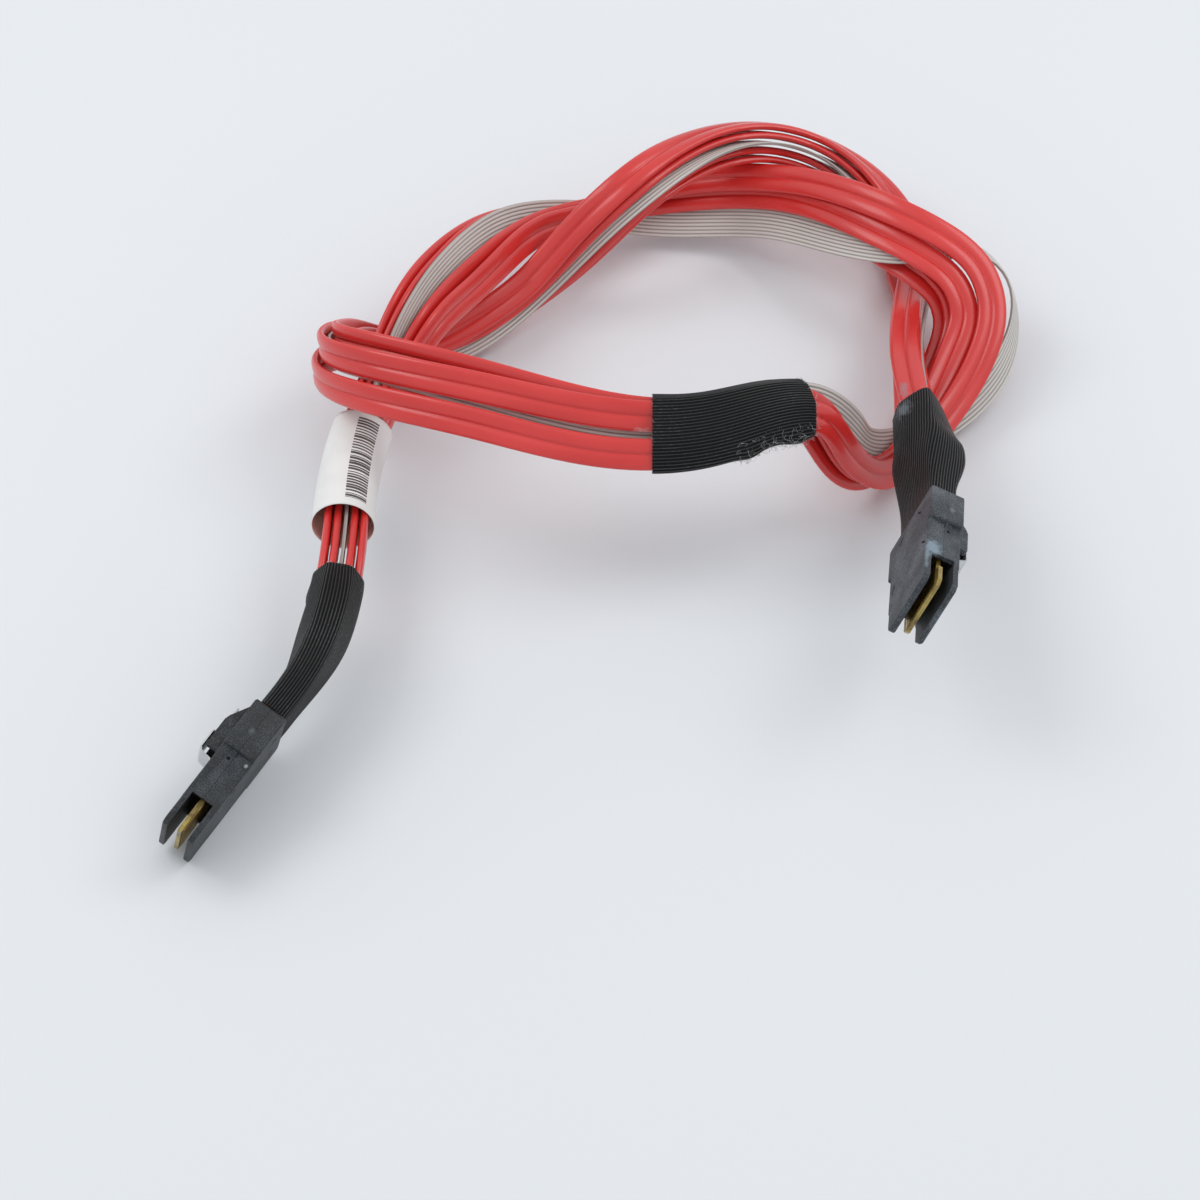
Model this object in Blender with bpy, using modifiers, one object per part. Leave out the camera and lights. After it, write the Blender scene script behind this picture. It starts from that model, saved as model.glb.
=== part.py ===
"""Internal computer data cable assembly: four red twin-lobed flat cables and one
grey ribbon, held in three woven sleeves and a wrap label, with a latching plug
on each end. It lies on the floor z = 0 in two loops, as it was put down."""
import math

import bmesh
import bpy
import numpy as np
from mathutils import Matrix, Vector

MM = 0.001
WELD = 0.01 * MM
FLAT_ANGLE = math.radians(1.0)
ASSEMBLY = "sas_cable"

# Plug sizes in millimetres. In a plug's own frame x runs through the thickness
# towards the latch, y from the rear face to the nose, z across the width.
BLOCK_WIDTH = 22.4
BLOCK_LENGTH = 12.9
BODY_WIDTH = 19.4
NOSE_WIDTH = 18.6
PLUG_LENGTH = 35.5
PLUG_THICKNESS = 8.4
NOSE_STEP_Y = PLUG_LENGTH - 7.5
MOUTH_Y = PLUG_LENGTH - 9.4
TIP_CHAMFER = 1.2
BLOCK_CORNER = 1.0
CORNER_EASE = 0.4
SHELL_SEAM = 0.3
WIDE_WALL = 1.2
SIDE_WALL = 1.1
REAR_WALL = 1.2
BLADE_THICKNESS = 1.4
CABLE_OPENING = 16.8
EDGE_BEVEL = 0.35
FIT_GAP = 0.3
OVERLAP = 0.5
OVERRUN = 1.0

# Small features of the shells. A rib is thick, long and high; slots are (y, z).
SIDE_RIB = (1.2, 1.1, 0.7)
SIDE_RIB_X = 0.4
SIDE_HOLE_RADIUS = 0.45
SIDE_HOLE_OFFSET = 1.2
SIDE_HOLE_DEPTH = 0.7
SIDE_HOLE_X = SIDE_RIB_X + SIDE_RIB[0] / 2
SLOT_SIZE = (0.5, 2.4, 0.6)
SLOT_TILT = 40.0
REAR_SLOTS = (4.0, 4.6)
FRONT_SLOTS = (PLUG_LENGTH - 15.3, 7.6)

# Latch: a bent spring strip between two guards
GUARD_START_Y = 1.2
GUARD_CREST_Y = 6.6
GUARD_END_Y = 14.4
GUARD_HEIGHT = 3.4
GUARD_FOOT = 0.5
GUARD_THICKNESS = 1.5
GUARD_CLEARANCE = 0.4
GUARD_SHOULDER = (0.9, 0.4)
STRIP_WIDTH = 9.0
STRIP_THICKNESS = 0.35
STRIP_RISE = 4.0
STRIP_BEND_Y = 15.5
STRIP_HEEL = 1.2
STRIP_SHIN = 0.5
STRIP_KNEE = (0.7, 0.6)
STRIP_FOOT_LENGTH = 1.0
STRIP_STEP = (10.3, 9.3)
STRIP_STEP_DROP = 1.2
STRIP_END_Y = 2.6
STRIP_END_DROP = 1.6
LATCH_AXIS_Y = STRIP_BEND_Y + 0.8

# Paddle card and its contact fingers
CARD_THICKNESS = 1.0
CARD_FRONT_Y = PLUG_LENGTH - 0.9
CARD_FRONT_WIDTH = 17.0
CARD_NECK_WIDTH = 14.6
CARD_NECK = (CARD_FRONT_Y - 12.6, CARD_FRONT_Y - 6.2)
CARD_CHAMFER = 1.2
CONTACT_COUNT = 18
CONTACT_PITCH = 0.8
CONTACT_WIDTH = 0.48
CONTACT_FRONT_INSET = 0.7
CONTACT_THICKNESS = 0.1
CONTACT_GAP = 0.05
COMB_BAR = (MOUTH_Y - 2.7, MOUTH_Y - 1.9)
CABLE_DEPTH = 5.0
POTTING_REAR_GAP = 0.5
POTTING_BEVEL = 0.5
POTTING_END_Y = 13.0

# The origin is on the floor under the middle of the whole part's box. The places
# below are counted from a floor point that lies this far from it in x and y.
FLOOR_POINT = (-4.48, -30.83, 0.0)

# Where each plug lies: rear face centre, nose direction, latch direction
PLUGS = {
    "plug_1": ((-76.4, -50.1, 15.72), (-0.539, -0.825, -0.170), (-0.818, 0.464, 0.340)),
    "plug_2": ((77.2, -4.3, 32.6), (-0.126, -0.959, 0.255), (0.911, -0.213, -0.352)),
}

# Cables: width, thickness, place in the five-layer stack, place beside the card
FLAT_WIDTH = 7.6
FLAT_THICKNESS = 2.0
FLAT_GROOVE = 0.3
RIBBON_WIDTH = 8.0
RIBBON_THICKNESS = 0.8
LAYER_GAP = 0.38
RIBBON_GAP = 0.62
PAIR_GAP = 0.4
CORD_POINTS = 80
BEND_FLOOR = 1 / 110
CURVE_SAMPLES = 4000
HEADING_STEP = 0.01
CABLE_HEADING_STEP = 0.05

# Shares of the route's spread column: by the first the cables lie two by two
# beside each other, from the second over the third they come down to two rows.
BESIDE_BY = 0.45
ROWS_FROM = 0.4
ROWS_OVER = 0.6

# The bundle's route from plug 1 to plug 2, chosen by hand over the photograph:
# x, y, z, roll of the stack, sideways shift of flats 1 and 2, the ribbon and
# flats 3 and 4, extra roll of the ribbon, and how far the stack is spread
# into two rows side by side (1 is fully spread, as at the plugs).
ROUTE = [
    (-79.1, -54.2, 14.9, -110.2, 0, 0, 0, 0, 0, 0, 1.3),
    (-69.2, -39, 18.1, -108.5, 0, 0, 0, 0, 0, 0, 0.85),
    (-61.6, -4.3, 21.4, -96.5, 0.3, 0, 0, 0, 0.2, 0, 0),
    (-60.8, 25.5, 19.4, -93.4, 0, 0, 0, 0, -0.2, 0, 0),
    (-55.1, 50.2, 22.6, -84, 1, 0.4, -0.7, -0.5, -0.5, 0, 0),
    (-46.1, 65.8, 33.1, -71, 3.3, 1.9, -1.8, -1.9, -2.7, 0, 0),
    (-39.2, 80.8, 31, -66, 4.6, 2, -3.1, -3, -4.2, 0, 0),
    (-30.4, 97.1, 27, -60, 4.2, 2, -3.4, -3.5, -3.9, 0, 0),
    (-17.4, 115.7, 18.5, -50, 1.6, 0.5, -2.5, -2, -2.6, 0, 0),
    (-2.2, 127.1, 12.9, -44, 1, 0, 1, 0, 0, 0, 0),
    (13.7, 132.3, 11.1, -40, -3, -0.3, 4.9, -2, 0, 0, 0),
    (46.1, 126.4, 17.5, -40, -5.3, -0.9, 6.4, -5, -1, 0, 0),
    (73.5, 101.9, 27.9, -32, -6, 0.4, 4, -3, 3, -3, 0),
    (85.4, 93.9, 27.2, -21, -5.4, 1.4, -3, 0.5, 4, 3, 0),
    (93.6, 87.6, 23.8, -8, -4.9, 2.3, -11.5, 2.5, 4.9, 58, 0),
    (96.2, 79.6, 18.8, 8, -4.5, 2.3, -11.7, 2.9, 5.1, 61, 0),
    (93.2, 69.9, 13.9, 18, -4.4, 2.6, -10.1, 2.8, 4.8, 33, 0),
    (79.9, 49.4, 7.6, 38, -3.1, 0, -1.4, 0, 0, 0, 0),
    (67.4, 36, 12.4, 52, -4.3, -3.3, 4.2, -2.2, -4.1, 0, 0),
    (50.6, 29.2, 36.8, 46, -2.1, 0.7, 2.8, 1.8, -1.9, 0, 0),
    (27, 19, 41, 40, -4.1, 3.7, 1.9, 4.6, -1, 0, 0),
    (-28, 26.8, 41, 46, -4.4, 4.1, 2.6, 6.9, 0, 0, 0),
    (-56.5, 39.5, 38.5, 66, -4.2, 3.6, 2.7, 6.6, 1, 0, 0),
    (-67.1, 54.3, 30.5, 93, -3.6, 3.3, 1.4, 5, 1.5, 0, 0),
    (-65.5, 62.9, 25, 104, -3, 2.8, 1, 3.5, 1, 0, 0),
    (-59.1, 73.7, 15, 114, -2.5, 1.5, -1, 1.5, 0.5, 0, 0),
    (-47, 80.9, 8.6, 125, -2.5, -0.5, -3.5, 0, 0, 0, 0),
    (-32.5, 88.6, 10, 134, -3, -2, -4, -1, 0.5, 0, 0),
    (-18.1, 100.3, 13.5, 140, -4, -3.6, -2.9, -1, 0.5, 0, 0),
    (7.9, 113.2, 33, 165, -3, -3, -2.7, -0.4, 1, 0, 0),
    (22.7, 126.1, 33, 192, -1, -1, -2.6, 0, 0.5, 0, 0),
    (39, 135.2, 30.6, 212, 0, 0, -2.4, 0, 0, 0, 0),
    (70.2, 138, 15.1, 204, 0, -0.8, -1.2, 0, 0, 0, 0),
    (80.3, 129, 9, 190, -1, -1.6, 0, 0, 0, 0, 0),
    (84.9, 116.7, 6, 176, -3, -3.9, 1, 0, 0, 0, 0),
    (83.8, 100.5, 8.5, 168, -2, -2, 1, 0, 0, 0, 0),
    (78.6, 62.5, 20.8, 162, 0, 0, 0, 0, 0, 0, 0),
    (78.9, 26.8, 27.6, 140, 0, 0, 0, 0, 0, 0, 0.25),
    (78.6, 6.2, 29.8, 115, 0, 0, 0, 0, 0, 0, 0.95),
    (76.6, -9.1, 33.9, 111.4, 0, 0, 0, 0, 0, 0, 1.3),
]

# Sleeves and label: where they start and end along the route, in millimetres
# from the first route point, with the wall and the room round the cables
SLEEVES = {
    "sleeve_plug_1": (5.8, 46.6),
    "sleeve_middle": (422.4, 460.0),
    "sleeve_plug_2": (844.0, 888.6),
}
SLEEVE_WALL = 0.6
SLEEVE_ROOM = 0.75
SLEEVE_RING = 16
SLEEVE_STEP = 5.0
WRAP_SQUARENESS = 0.36
LABEL_SPAN = (64.8, 98.0)
LABEL_WALL = 0.3
LABEL_ROOM = 1.5
LABEL_OVERLAP = 0.12
LABEL_LIFT_FROM = 0.5
LABEL_REST_GAP = 0.35
LABEL_LEAN = -0.6

COLOURS = {
    "red_pvc": ((0.70, 0.035, 0.025), 0.32, 0.0),
    "grey_pvc": ((0.36, 0.34, 0.31), 0.45, 0.0),
    "black_braid": ((0.02, 0.02, 0.022), 0.8, 0.0),
    "white_label": ((0.80, 0.80, 0.79), 0.55, 0.0),
    "black_nylon": ((0.035, 0.038, 0.042), 0.5, 0.0),
    "card_laminate": ((0.30, 0.34, 0.10), 0.45, 0.0),
    "gold_plate": ((0.90, 0.66, 0.25), 0.3, 1.0),
    "stainless": ((0.62, 0.62, 0.62), 0.3, 1.0),
    "potting": ((0.55, 0.50, 0.40), 0.4, 0.0),
}


def clear_scene():
    for thing in list(bpy.data.objects):
        bpy.data.objects.remove(thing)


def new_collection(name):
    collection = bpy.data.collections.new(name)
    bpy.context.scene.collection.children.link(collection)
    return collection


def material(name):
    found = bpy.data.materials.get(name)
    if found:
        return found
    colour, roughness, metallic = COLOURS[name]
    made = bpy.data.materials.new(name)
    made.use_nodes = True
    shader = made.node_tree.nodes["Principled BSDF"]
    shader.inputs["Base Color"].default_value = (*colour, 1.0)
    shader.inputs["Roughness"].default_value = roughness
    shader.inputs["Metallic"].default_value = metallic
    return made


def add_object(name, mesh, collection, finish=None, parent=None):
    thing = bpy.data.objects.new(name, mesh)
    collection.objects.link(thing)
    if finish:
        mesh.materials.clear()
        mesh.materials.append(material(finish))
    if parent:
        thing.parent = parent
    return thing


def add_cutter(name, mesh, parent):
    cutter = add_object(name, mesh, CUTTERS, parent=parent)
    cutter.hide_render = True
    cutter.display_type = "WIRE"
    return cutter


def box_mesh(name, low, high):
    low = Vector(low) * MM
    high = Vector(high) * MM
    mesh = bpy.data.meshes.new(name)
    shape = bmesh.new()
    bmesh.ops.create_cube(shape, size=1.0)
    size = high - low
    bmesh.ops.scale(shape, vec=size, verts=shape.verts)
    bmesh.ops.translate(shape, vec=(low + high) / 2, verts=shape.verts)
    shape.to_mesh(mesh)
    shape.free()
    return mesh


def rod_mesh(name, centre, radius, length):
    """A short round rod along z."""
    mesh = bpy.data.meshes.new(name)
    shape = bmesh.new()
    bmesh.ops.create_cone(shape, cap_ends=True, segments=12, radius1=radius * MM,
                          radius2=radius * MM, depth=length * MM)
    bmesh.ops.translate(shape, vec=Vector(centre) * MM, verts=shape.verts)
    shape.to_mesh(mesh)
    shape.free()
    return mesh


def outline_mesh(name, points, low, high, axes):
    """A flat outline made thick between low and high. axes names where the
    outline's two directions and its thickness go."""
    curve = bpy.data.curves.new(name, "CURVE")
    curve.dimensions = "2D"
    curve.fill_mode = "BOTH"
    curve.extrude = (high - low) / 2 * MM
    spline = curve.splines.new("POLY")
    spline.points.add(len(points) - 1)
    for spot, (u, v) in zip(spline.points, points):
        spot.co = (u * MM, v * MM, 0.0, 1.0)
    spline.use_cyclic_u = True
    holder = bpy.data.objects.new(name + "_outline", curve)
    CUTTERS.objects.link(holder)
    evaluated = holder.evaluated_get(bpy.context.evaluated_depsgraph_get())
    mesh = bpy.data.meshes.new_from_object(evaluated)
    bpy.data.objects.remove(holder)
    turn = Matrix.Identity(4)
    for column, axis in enumerate(axes):
        for row in range(3):
            turn[row][column] = 1.0 if "xyz"[row] == axis else 0.0
    turn = Matrix.Translation(turn.col[2].to_3d() * (low + high) / 2 * MM) @ turn
    shape = bmesh.new()
    shape.from_mesh(mesh)
    bmesh.ops.remove_doubles(shape, verts=shape.verts, dist=WELD)
    bmesh.ops.dissolve_limit(shape, angle_limit=FLAT_ANGLE, verts=shape.verts, edges=shape.edges)
    bmesh.ops.transform(shape, matrix=turn, verts=shape.verts)
    bmesh.ops.recalc_face_normals(shape, faces=shape.faces)
    shape.to_mesh(mesh)
    shape.free()
    return mesh


def bevel(thing, width):
    edge = thing.modifiers.new("soft_edges", "BEVEL")
    edge.width = width * MM
    edge.segments = 1
    edge.limit_method = "ANGLE"


def boolean(thing, other, operation):
    step = thing.modifiers.new(operation.lower() + "_" + other.name, "BOOLEAN")
    step.operation = operation
    step.object = other
    step.solver = "EXACT"


# The cable bundle
def natural_spline(knots, rows):
    """Second derivatives of the natural cubic through the rows."""
    count = len(knots)
    gaps = np.diff(knots)
    matrix = np.eye(count)
    right = np.zeros_like(rows)
    for i in range(1, count - 1):
        matrix[i, i - 1] = gaps[i - 1]
        matrix[i, i] = 2 * (gaps[i - 1] + gaps[i])
        matrix[i, i + 1] = gaps[i]
        right[i] = 6 * ((rows[i + 1] - rows[i]) / gaps[i] - (rows[i] - rows[i - 1]) / gaps[i - 1])
    return np.linalg.solve(matrix, right)


def read_spline(knots, rows, seconds, where):
    i = np.clip(np.searchsorted(knots, where, side="right") - 1, 0, len(knots) - 2)
    gap = knots[i + 1] - knots[i]
    a = ((knots[i + 1] - where) / gap)[:, None]
    b = ((where - knots[i]) / gap)[:, None]
    bend = ((a ** 3 - a) * seconds[i] + (b ** 3 - b) * seconds[i + 1]) * (gap ** 2 / 6)[:, None]
    return a * rows[i] + b * rows[i + 1] + bend


def unit(rows):
    return rows / np.linalg.norm(rows, axis=1)[:, None]


def smooth(share):
    share = np.clip(share, 0.0, 1.0)
    return share * share * (3 - 2 * share)


class Bundle:
    """The five cables' centre lines and width directions along the route."""

    def __init__(self):
        table = np.array(ROUTE, float)
        self.rows = table[:, :10].copy()
        self.rows[:, :3] += FLOOR_POINT
        self.spread = table[:, 10]
        steps = np.linalg.norm(np.diff(table[:, :3], axis=0), axis=1)
        self.knots = np.concatenate([[0.0], np.cumsum(steps)])
        self.seconds = natural_spline(self.knots, self.rows)
        self.length = self.knots[-1]

    def read(self, where):
        return read_spline(self.knots, self.rows, self.seconds, where)

    def stations(self, count):
        """Points along the route, closer together where it bends."""
        fine = np.linspace(0.0, self.length, CURVE_SAMPLES)
        heading = unit(np.gradient(self.read(fine)[:, :3], fine, axis=0))
        bend = np.linalg.norm(np.gradient(heading, fine, axis=0), axis=1)
        density = np.sqrt(bend + BEND_FLOOR)
        total = np.concatenate([[0.0], np.cumsum((density[1:] + density[:-1]) / 2 * np.diff(fine))])
        return np.interp(np.linspace(0.0, total[-1], count), total, fine)

    def frames(self, where):
        """Centre, width direction and layer direction of the whole stack."""
        state = self.read(where)
        ahead = self.read(np.minimum(where + HEADING_STEP, self.length))[:, :3]
        behind = self.read(np.maximum(where - HEADING_STEP, 0.0))[:, :3]
        heading = unit(ahead - behind)
        side = unit(np.cross(heading, (0.0, 0.0, 1.0)))
        up = np.cross(side, heading)
        roll = np.radians(state[:, 3])[:, None]
        across = np.cos(roll) * side + np.sin(roll) * up
        layers = -np.sin(roll) * side + np.cos(roll) * up
        return state, across, layers

    def places(self, where, cable):
        """How far a cable's centre lies from the stack's centre."""
        state = self.read(where)
        spread = np.interp(where, self.knots, self.spread)
        beside = smooth(spread / BESIDE_BY)
        flatten = smooth((spread - ROWS_FROM) / ROWS_OVER)
        shift = state[:, 4 + cable] + beside * PAIR_SHIFTS[cable]
        layer = (1 - flatten) * STACK_LAYERS[cable] + flatten * PAIR_LAYERS[cable]
        return shift, layer

    def cable(self, where, cable):
        state, across, layers = self.frames(where)
        shift, layer = self.places(where, cable)
        centre = state[:, :3] + shift[:, None] * across + layer[:, None] * layers
        heading = self.heading(where, cable)
        wide = unit(across - np.sum(across * heading, axis=1)[:, None] * heading)
        thick = np.cross(heading, wide)
        thick *= np.sign(np.sum(thick * layers, axis=1))[:, None]
        if cable == RIBBON:
            turn = np.radians(state[:, 9])[:, None]
            wide, thick = (np.cos(turn) * wide + np.sin(turn) * thick,
                           np.cos(turn) * thick - np.sin(turn) * wide)
        return centre, wide, thick

    def heading(self, where, cable):
        """The direction in which one cable runs."""
        ends = []
        for offset in (CABLE_HEADING_STEP, -CABLE_HEADING_STEP):
            spot = np.clip(where + offset, 0.0, self.length)
            state, across, layers = self.frames(spot)
            shift, layer = self.places(spot, cable)
            ends.append(state[:, :3] + shift[:, None] * across + layer[:, None] * layers)
        return unit(ends[0] - ends[1])


RIBBON = 2
CABLE_NAMES = ["red_flat_1", "red_flat_2", "grey_ribbon", "red_flat_3", "red_flat_4"]
NEAR_LAYER = RIBBON_THICKNESS / 2 + RIBBON_GAP + FLAT_THICKNESS / 2
FAR_LAYER = NEAR_LAYER + FLAT_THICKNESS + LAYER_GAP
PAIR_LAYER = RIBBON_THICKNESS / 2 + PAIR_GAP + FLAT_THICKNESS / 2
PAIR_SIDE = (FLAT_WIDTH + PAIR_GAP) / 2
STACK_LAYERS = [FAR_LAYER, NEAR_LAYER, 0.0, -NEAR_LAYER, -FAR_LAYER]
PAIR_LAYERS = [PAIR_LAYER, PAIR_LAYER, 0.0, -PAIR_LAYER, -PAIR_LAYER]
PAIR_SHIFTS = [PAIR_SIDE, -PAIR_SIDE, 0.0, -PAIR_SIDE, PAIR_SIDE]


def flat_profile():
    """Two lobes with a groove between them: across the width, then through."""
    w = FLAT_WIDTH / 2
    t = FLAT_THICKNESS / 2
    half = [(w, 0.0), (w / 2, t), (0.0, t - FLAT_GROOVE), (-w / 2, t)]
    return half + [(-u, -v) for u, v in half]


def ribbon_profile():
    w = RIBBON_WIDTH / 2
    t = RIBBON_THICKNESS / 2
    half = [(w, -t), (w, t), (0.0, t)]
    return half + [(-u, -v) for u, v in half]


def loft(name, rings, closed_ends):
    """A skin through rings of points, one ring for each station."""
    mesh = bpy.data.meshes.new(name)
    shape = bmesh.new()
    grid = [[shape.verts.new(Vector(point) * MM) for point in ring] for ring in rings]
    sides = len(rings[0])
    around = sides if closed_ends != "open_sheet" else sides - 1
    for one, two in zip(grid, grid[1:]):
        for j in range(around):
            k = (j + 1) % sides
            shape.faces.new((one[j], one[k], two[k], two[j]))
    if closed_ends == "caps":
        shape.faces.new(reversed(grid[0]))
        shape.faces.new(grid[-1])
    bmesh.ops.recalc_face_normals(shape, faces=shape.faces)
    if closed_ends == "caps" and shape.calc_volume(signed=True) < 0:
        bmesh.ops.reverse_faces(shape, faces=shape.faces)
    shape.to_mesh(mesh)
    shape.free()
    return mesh


def make_cables(bundle):
    where = bundle.stations(CORD_POINTS)
    for cable, name in enumerate(CABLE_NAMES):
        centre, wide, thick = bundle.cable(where, cable)
        profile = ribbon_profile() if cable == RIBBON else flat_profile()
        rings = []
        for i in range(len(where)):
            rings.append([centre[i] + u * wide[i] + v * thick[i] for u, v in profile])
        finish = "grey_pvc" if cable == RIBBON else "red_pvc"
        add_object(name, loft(name, rings, "caps"), PARTS, finish)


def bundle_extent(bundle, where):
    """Middle and half sizes of the cables' outline at each station, in the
    stack's own width and layer directions."""
    lows = []
    highs = []
    for cable in range(len(CABLE_NAMES)):
        shift, layer = bundle.places(where, cable)
        wide = RIBBON_WIDTH / 2 if cable == RIBBON else FLAT_WIDTH / 2
        thick = RIBBON_THICKNESS / 2 if cable == RIBBON else FLAT_THICKNESS / 2
        lows.append(np.stack([shift - wide, layer - thick], axis=1))
        highs.append(np.stack([shift + wide, layer + thick], axis=1))
    low = np.min(lows, axis=0)
    high = np.max(highs, axis=0)
    return (low + high) / 2, (high - low) / 2


def wrap_rings(bundle, span, room, turns=1.0, lift=0.0, hang=(0.0, 0.0)):
    """Rounded rings round the bundle from one place on the route to another. A
    loose wrap hangs off the middle of the bundle by hang."""
    count = max(3, round((span[1] - span[0]) / SLEEVE_STEP) + 1)
    where = np.linspace(span[0], span[1], count)
    state, across, layers = bundle.frames(where)
    middle, half = bundle_extent(bundle, where)
    points = SLEEVE_RING if turns == 1 else round(SLEEVE_RING * turns) + 1
    rings = []
    for i in range(count):
        ring = []
        for j in range(points):
            angle = 2 * math.pi * j / SLEEVE_RING
            rise = room + lift * max(0.0, j / SLEEVE_RING - LABEL_LIFT_FROM)
            u = math.copysign(abs(math.cos(angle)) ** WRAP_SQUARENESS, math.cos(angle))
            v = math.copysign(abs(math.sin(angle)) ** WRAP_SQUARENESS, math.sin(angle))
            u = middle[i][0] + hang[0] + u * (half[i][0] + rise)
            v = middle[i][1] + hang[1] + v * (half[i][1] + rise)
            ring.append(state[i][:3] + u * across[i] + v * layers[i])
        rings.append(ring)
    return rings


def make_wrap(name, rings, kind, wall, finish):
    thing = add_object(name, loft(name, rings, kind), PARTS, finish)
    skin = thing.modifiers.new("wall", "SOLIDIFY")
    skin.thickness = wall * MM
    skin.offset = 1.0
    skin.use_even_offset = True
    for face in thing.data.polygons:
        face.use_smooth = True
    return thing


def make_sleeves_and_label(bundle):
    for name, span in SLEEVES.items():
        rings = wrap_rings(bundle, span, SLEEVE_ROOM)
        make_wrap(name, rings, "tube", SLEEVE_WALL, "black_braid")
    lift = 2 * (LABEL_WALL + FIT_GAP)
    hang = (LABEL_ROOM - LABEL_REST_GAP, LABEL_LEAN)
    rings = wrap_rings(bundle, LABEL_SPAN, LABEL_ROOM, 1 + LABEL_OVERLAP, lift, hang)
    make_wrap("wrap_label", rings, "open_sheet", LABEL_WALL, "white_label")


# The plugs
def plug_frame(name):
    rear, nose, latch = PLUGS[name]
    y = Vector(nose).normalized()
    x = Vector(latch)
    x = (x - y * x.dot(y)).normalized()
    z = x.cross(y)
    turn = Matrix((x, y, z)).transposed().to_4x4()
    empty = bpy.data.objects.new(name + "_frame", None)
    PARTS.objects.link(empty)
    place = Vector(rear) + Vector(FLOOR_POINT)
    empty.matrix_world = Matrix.Translation(place * MM) @ turn
    return empty


def shell_outline():
    """Half-symmetrical outline of a shell, as seen on its wide face."""
    block = BLOCK_WIDTH / 2
    body = BODY_WIDTH / 2
    nose = NOSE_WIDTH / 2
    corner = BLOCK_CORNER
    ease = CORNER_EASE
    half = [
        (0.0, block - corner), (corner * 0.3, block - corner * 0.3), (corner, block),
        (BLOCK_LENGTH - ease, block), (BLOCK_LENGTH, block - ease), (BLOCK_LENGTH, body),
        (NOSE_STEP_Y, body), (NOSE_STEP_Y + ease, nose),
        (PLUG_LENGTH - TIP_CHAMFER, nose), (PLUG_LENGTH, nose - TIP_CHAMFER),
    ]
    return half + [(y, -z) for y, z in reversed(half)]


def make_shell(plug, frame, side, finish):
    """One half shell. side is +1 on the latch side and -1 on the plain side."""
    kind = "latch_shell" if side > 0 else "plain_shell"
    name = plug + "_" + kind
    outer = PLUG_THICKNESS / 2
    seam = SHELL_SEAM / 2
    span = sorted((side * seam, side * outer))
    mesh = outline_mesh(name, shell_outline(), span[0], span[1], "yzx")
    shell = add_object(name, mesh, PARTS, finish, frame)
    bevel(shell, EDGE_BEVEL)
    cavity = BODY_WIDTH / 2 - SIDE_WALL
    inner = outer - WIDE_WALL
    blade = outer - BLADE_THICKNESS
    cuts = [
        ("cavity", inner, (REAR_WALL, MOUTH_Y + OVERLAP), cavity),
        ("cable_opening", inner, (-OVERRUN, REAR_WALL + OVERRUN), CABLE_OPENING / 2),
        ("mouth", blade, (MOUTH_Y, PLUG_LENGTH + OVERRUN), BLOCK_WIDTH),
    ]
    for label, depth, (y0, y1), half in cuts:
        xs = sorted((-side * OVERRUN, side * depth))
        cut = add_cutter(name + "_" + label, box_mesh(label, (xs[0], y0, -half), (xs[1], y1, half)), frame)
        boolean(shell, cut, "DIFFERENCE")
    if side > 0:
        add_guards(name, shell, frame)
        add_side_ribs(name, shell, frame)
    else:
        cut_slots(name, shell, frame)
    return shell


def guard_outline():
    face = PLUG_THICKNESS / 2
    foot = face - OVERLAP
    crest = face + GUARD_HEIGHT
    back, down = GUARD_SHOULDER
    ease = CORNER_EASE
    return [
        (GUARD_START_Y, foot), (GUARD_START_Y, face + GUARD_FOOT), (GUARD_CREST_Y - back, crest - down),
        (GUARD_CREST_Y + ease, crest), (GUARD_END_Y - ease, crest), (GUARD_END_Y, crest - ease),
        (GUARD_END_Y, foot),
    ]


def add_guards(name, shell, frame):
    near = STRIP_WIDTH / 2 + GUARD_CLEARANCE
    for label, low in (("guard_a", near), ("guard_b", -near - GUARD_THICKNESS)):
        mesh = outline_mesh(label, guard_outline(), low, low + GUARD_THICKNESS, "yxz")
        guard = add_cutter(name + "_" + label, mesh, frame)
        boolean(shell, guard, "UNION")


def add_side_ribs(name, shell, frame):
    thick, length, height = SIDE_RIB
    for label, sign in (("rib_a", 1), ("rib_b", -1)):
        zs = sorted((sign * (BODY_WIDTH / 2 - OVERLAP), sign * (BODY_WIDTH / 2 + height)))
        low = (SIDE_RIB_X, BLOCK_LENGTH - OVERLAP, zs[0])
        high = (SIDE_RIB_X + thick, BLOCK_LENGTH + length, zs[1])
        rib = add_cutter(name + "_" + label, box_mesh(label, low, high), frame)
        boolean(shell, rib, "UNION")
        centre = (SIDE_HOLE_X, BLOCK_LENGTH + length + SIDE_HOLE_OFFSET, sign * BODY_WIDTH / 2)
        mesh = rod_mesh(label + "_hole", centre, SIDE_HOLE_RADIUS, 2 * SIDE_HOLE_DEPTH)
        hole = add_cutter(name + "_" + label + "_hole", mesh, frame)
        boolean(shell, hole, "DIFFERENCE")


def cut_slots(name, shell, frame):
    depth, length, width = SLOT_SIZE
    spots = [(y, sign * z, sign) for y, z in (REAR_SLOTS, FRONT_SLOTS) for sign in (1, -1)]
    for number, (y, z, sign) in enumerate(spots):
        mesh = box_mesh("slot", (-depth, -length / 2, -width / 2), (depth, length / 2, width / 2))
        place = Matrix.Translation(Vector((-PLUG_THICKNESS / 2, y, z)) * MM)
        mesh.transform(place @ Matrix.Rotation(math.radians(sign * SLOT_TILT), 4, "X"))
        slot = add_cutter(f"{name}_slot_{number}", mesh, frame)
        boolean(shell, slot, "DIFFERENCE")


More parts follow.
